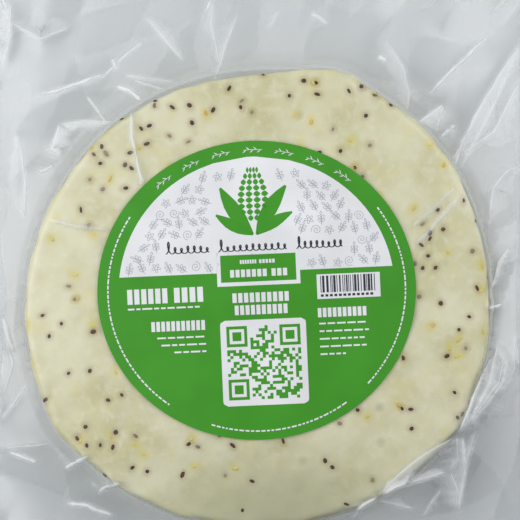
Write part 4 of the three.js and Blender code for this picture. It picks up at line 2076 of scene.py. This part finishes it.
    def _emblem(self) -> None:
        """A plain ear of maize between husk leaves."""
        layer = self.layers[Ink.GREEN]
        middle, foot = self.emblem_foot
        for row in range(self.kernel_rows):
            y = foot + 4.6 + self.kernel_pitch * row
            half = 5.4 * math.sin(math.pi * (0.2 + 0.7 * (row + 0.5) / self.kernel_rows) ** 0.9)
            for column in range(self.kernel_columns):
                layer.leaf((middle + (column - 1.5) * half / 2.0, y), 90.0, 1.9, 0.44 * half)
        for side in (-1.0, 1.0):
            for turn, length, width in ((33.0, 19.0, 5.0), (60.0, 14.0, 3.8)):
                layer.leaf((middle + side * 0.6, foot), 90.0 - side * turn, length, width)

    def _flourish(self) -> None:
        """Runs of plain dark pen loops below the emblem."""
        low, high = self.flourish_band
        count = self.loop_points
        for left, right in self.flourish_runs:
            loops = round((right - left) / self.loop_pitch)
            pitch = (right - left) / loops
            tall = np.repeat(self.rng.uniform(0.4, 0.62, loops), count)
            tall[:count] = 1.0
            turn = np.arange(count * loops) / count
            x = left + pitch * (turn + 0.34 * np.sin(2.0 * math.pi * turn))
            y = low + (high - low) * tall * (0.5 - 0.5 * np.cos(2.0 * math.pi * turn))
            width = 0.26 + 0.22 * np.abs(np.sin(2.0 * math.pi * turn))
            self.layers[Ink.DARK].stroke(np.stack([x, y], 1), width)

    def _inset_box(self) -> None:
        """Small green box with a white border across the field's floor."""
        self.layers[Ink.WHITE].bar(self.inset_border)
        self.layers[Ink.GREEN].bar(self.inset_field)

    def _lines(self, block: LineBlock) -> None:
        """Draws a block of thin broken lines.

        Args:
            block: the block's place and its lines.
        """
        for number, share in enumerate(block.shares):
            y = block.top - number * block.step
            length = share * (block.right - block.left)
            place = block.right - length if block.from_right else block.left
            stop = place + length
            while place < stop - 0.8:
                dash = min(self.rng.uniform(1.2, 3.4), stop - place)
                self.layers[Ink.BRIGHT].bar(Box(place, place + dash, y - 0.28, y + 0.28))
                place += dash + 0.6

    def _bars(self) -> None:
        """White rows of blocks and thin broken lines on the label's lower part."""
        for block in self.print_blocks:
            if isinstance(block, BlockRow):
                self.layers[Ink.BRIGHT].row(block)
            else:
                self._lines(block)

    def _stripes(self) -> None:
        """White box of upright dark stripes above a row of short ones."""
        dark = self.layers[Ink.DARK]
        self.layers[Ink.WHITE].bar(self.stripe_box)
        place, end = self.stripe_run
        tall, short = self.stripe_rows
        starts = np.arange(place, end - 0.2, 1.5)
        while place < end:
            wide = float(self.rng.choice([0.25, 0.25, 0.5, 0.75]))
            dark.bar(Box(place, place + wide, *tall))
            place += wide + float(self.rng.choice([0.25, 0.35, 0.6]))
        for start in starts:
            dark.bar(Box(start, start + 0.95, *short))

    def _mosaic(self) -> None:
        """White rounded square with a seeded pattern of small squares."""
        white, green = self.layers[Ink.WHITE], self.layers[Ink.GREEN]
        (left, top), margin, bevel = self.mosaic_corner, self.mosaic_margin, self.mosaic_bevel
        low = top - self.mosaic_side
        rise = np.linspace(low - margin, top + margin, 40)
        inset = np.maximum(0.0, np.maximum(low - margin + bevel - rise, rise - top - margin + bevel))
        trim = bevel - np.sqrt(np.maximum(0.0, bevel ** 2 - inset ** 2))
        share = np.linspace(0.0, 1.0, 9)
        x = (left - margin + trim)[:, None] + (self.mosaic_side + 2 * margin - 2 * trim)[:, None] * share
        white.grid(x, np.broadcast_to(rise[:, None], x.shape))
        cell = self.mosaic_side / self.mosaic_cells
        last = self.mosaic_cells - self.eye_cells
        filled = self.rng.random((self.mosaic_cells, self.mosaic_cells)) < self.mosaic_fill
        for row, column in ((0, 0), (0, last), (last, 0)):
            ring = np.ones((self.eye_cells, self.eye_cells), bool)
            ring[1:-1, 1:-1] = False
            ring[2:-2, 2:-2] = True
            grown = slice(max(row - 1, 0), row + self.eye_cells + 1)
            beside = slice(max(column - 1, 0), column + self.eye_cells + 1)
            filled[grown, beside] = False
            filled[row:row + self.eye_cells, column:column + self.eye_cells] = ring
        for row, column in np.argwhere(filled):
            start, low = left + column * cell, top - (row + 1) * cell
            green.bar(Box(start, start + cell, low, low + cell))

    def _ring_marks(self) -> None:
        """Small marks along the green ring: broken lines at the sides and below, sprigs above."""
        layer = self.layers[Ink.BRIGHT]
        wide, tall = self.ring_half
        for start, end in self.ring_lines:
            place = start
            while place < end - 1.0:
                dash = min(self.rng.uniform(0.7, 2.2), end - place)
                layer.arc(self.ring_half, place, place + dash, self.ring_line_width)
                place += dash + 0.55
        for at in np.arange(*self.ring_sprigs, self.ring_sprig_pitch):
            layer.arc(self.ring_half, at - self.ring_sprig_half, at + self.ring_sprig_half, self.ring_pen)
            for number, share in enumerate(self.ring_leaves):
                turn = math.radians(at + share)
                side = -40.0 if number % 2 else 40.0
                foot = (wide * math.cos(turn), tall * math.sin(turn))
                layer.leaf(foot, at + share + 90.0 + side, 1.5, 0.3)

    def build(self) -> list[Piece]:
        """Makes the label's stock and every layer of print.

        Returns:
            Every finished piece of the label.
        """
        for draw in (self._white_field, self._sprigs, self._emblem, self._flourish, self._inset_box,
                     self._bars, self._stripes, self._mosaic, self._ring_marks):
            draw()
        pieces = [self._disc()]
        face = self.back_gap + self.thickness
        for ink, layer in self.layers.items():
            name, level = ink.value
            points = self._place(np.array(layer.points), face + level * self.ink_step)
            pieces.append(add_mesh(name, points, layer.faces, layer.finish.build()))
        return [finish_piece(piece) for piece in pieces]


@dataclass(frozen=True)
class SoftLight:
    """A square soft lamp that points at the pack."""

    name: str
    place: tuple[float, float, float]
    size: float
    power: float

    def build(self) -> None:
        """Adds the lamp to the scene."""
        lamp = bpy.data.lights.new(self.name, "AREA")
        lamp.size = self.size
        lamp.energy = self.power
        holder = bpy.data.objects.new(self.name, lamp)
        holder.location = self.place
        holder.rotation_euler = (-Vector(self.place)).to_track_quat("-Z", "Y").to_euler()
        bpy.context.scene.collection.objects.link(holder)


@dataclass
class Studio:
    """Pale floor, soft lights and the camera straight above the pack."""

    shape: StackShape
    view: Viewpoint
    floor_size: float = 1600.0
    floor_height: float = -0.1
    sensor: float = 36.0
    nearest: float = 10.0
    ambient: Colour = (0.92, 0.96, 1.0, 1.0)
    ambient_strength: float = 0.27
    lights: tuple[SoftLight, ...] = (
        SoftLight("left_light", (-0.3, 0.01, 0.3), 0.4, 0.99),
        SoftLight("right_light", (0.32, 0.08, 0.3), 0.4, 0.79),
        SoftLight("far_light", (0.0, 0.33, 0.23), 0.5, 0.38))

    def _floor(self) -> None:
        """Lays the pale floor just under the pack."""
        half = self.floor_size / 2
        around = ((-half, -half), (half, -half), (half, half), (-half, half))
        corners = np.array([(x, y, self.floor_height) for x, y in around])
        add_mesh("floor", corners, [(0, 1, 2, 3)], FloorFinish().build())

    def _camera(self) -> None:
        """Sets the camera straight above the photograph's frame."""
        lens = bpy.data.cameras.new("camera")
        lens.sensor_width = self.sensor
        lens.lens = self.sensor * self.view.height / self.view.width
        lens.clip_start = self.nearest * MM
        camera = bpy.data.objects.new("camera", lens)
        x, y = self.view.centre
        height = self.shape.height + self.view.height
        camera.location = (x * MM, (y + self.shape.centre_y) * MM, height * MM)
        bpy.context.scene.collection.objects.link(camera)
        bpy.context.scene.camera = camera

    def build(self) -> None:
        """Makes the floor, the lights, the sky and the camera."""
        self._floor()
        for light in self.lights:
            light.build()
        world = bpy.data.worlds.new("studio")
        world.use_nodes = True
        sky = world.node_tree.nodes["Background"]
        sky.inputs["Color"].default_value = self.ambient
        sky.inputs["Strength"].default_value = self.ambient_strength
        bpy.context.scene.world = world
        bpy.context.scene.view_settings.view_transform = "Standard"
        self._camera()


def main() -> None:
    """Builds the pack and its studio in order."""
    logging.basicConfig(level=logging.INFO, format="%(message)s")
    shape = StackShape()
    view = Viewpoint()
    Studio(shape, view).build()
    CornStack(shape).build()
    film = PouchFilm(shape, view)
    clear = FilmFinish().build()
    film.build(clear)
    FoldRidges(film).build(clear)
    WeldBands(film).build()
    RoundLabel(shape).build()


if __name__ == "__main__":
    main()
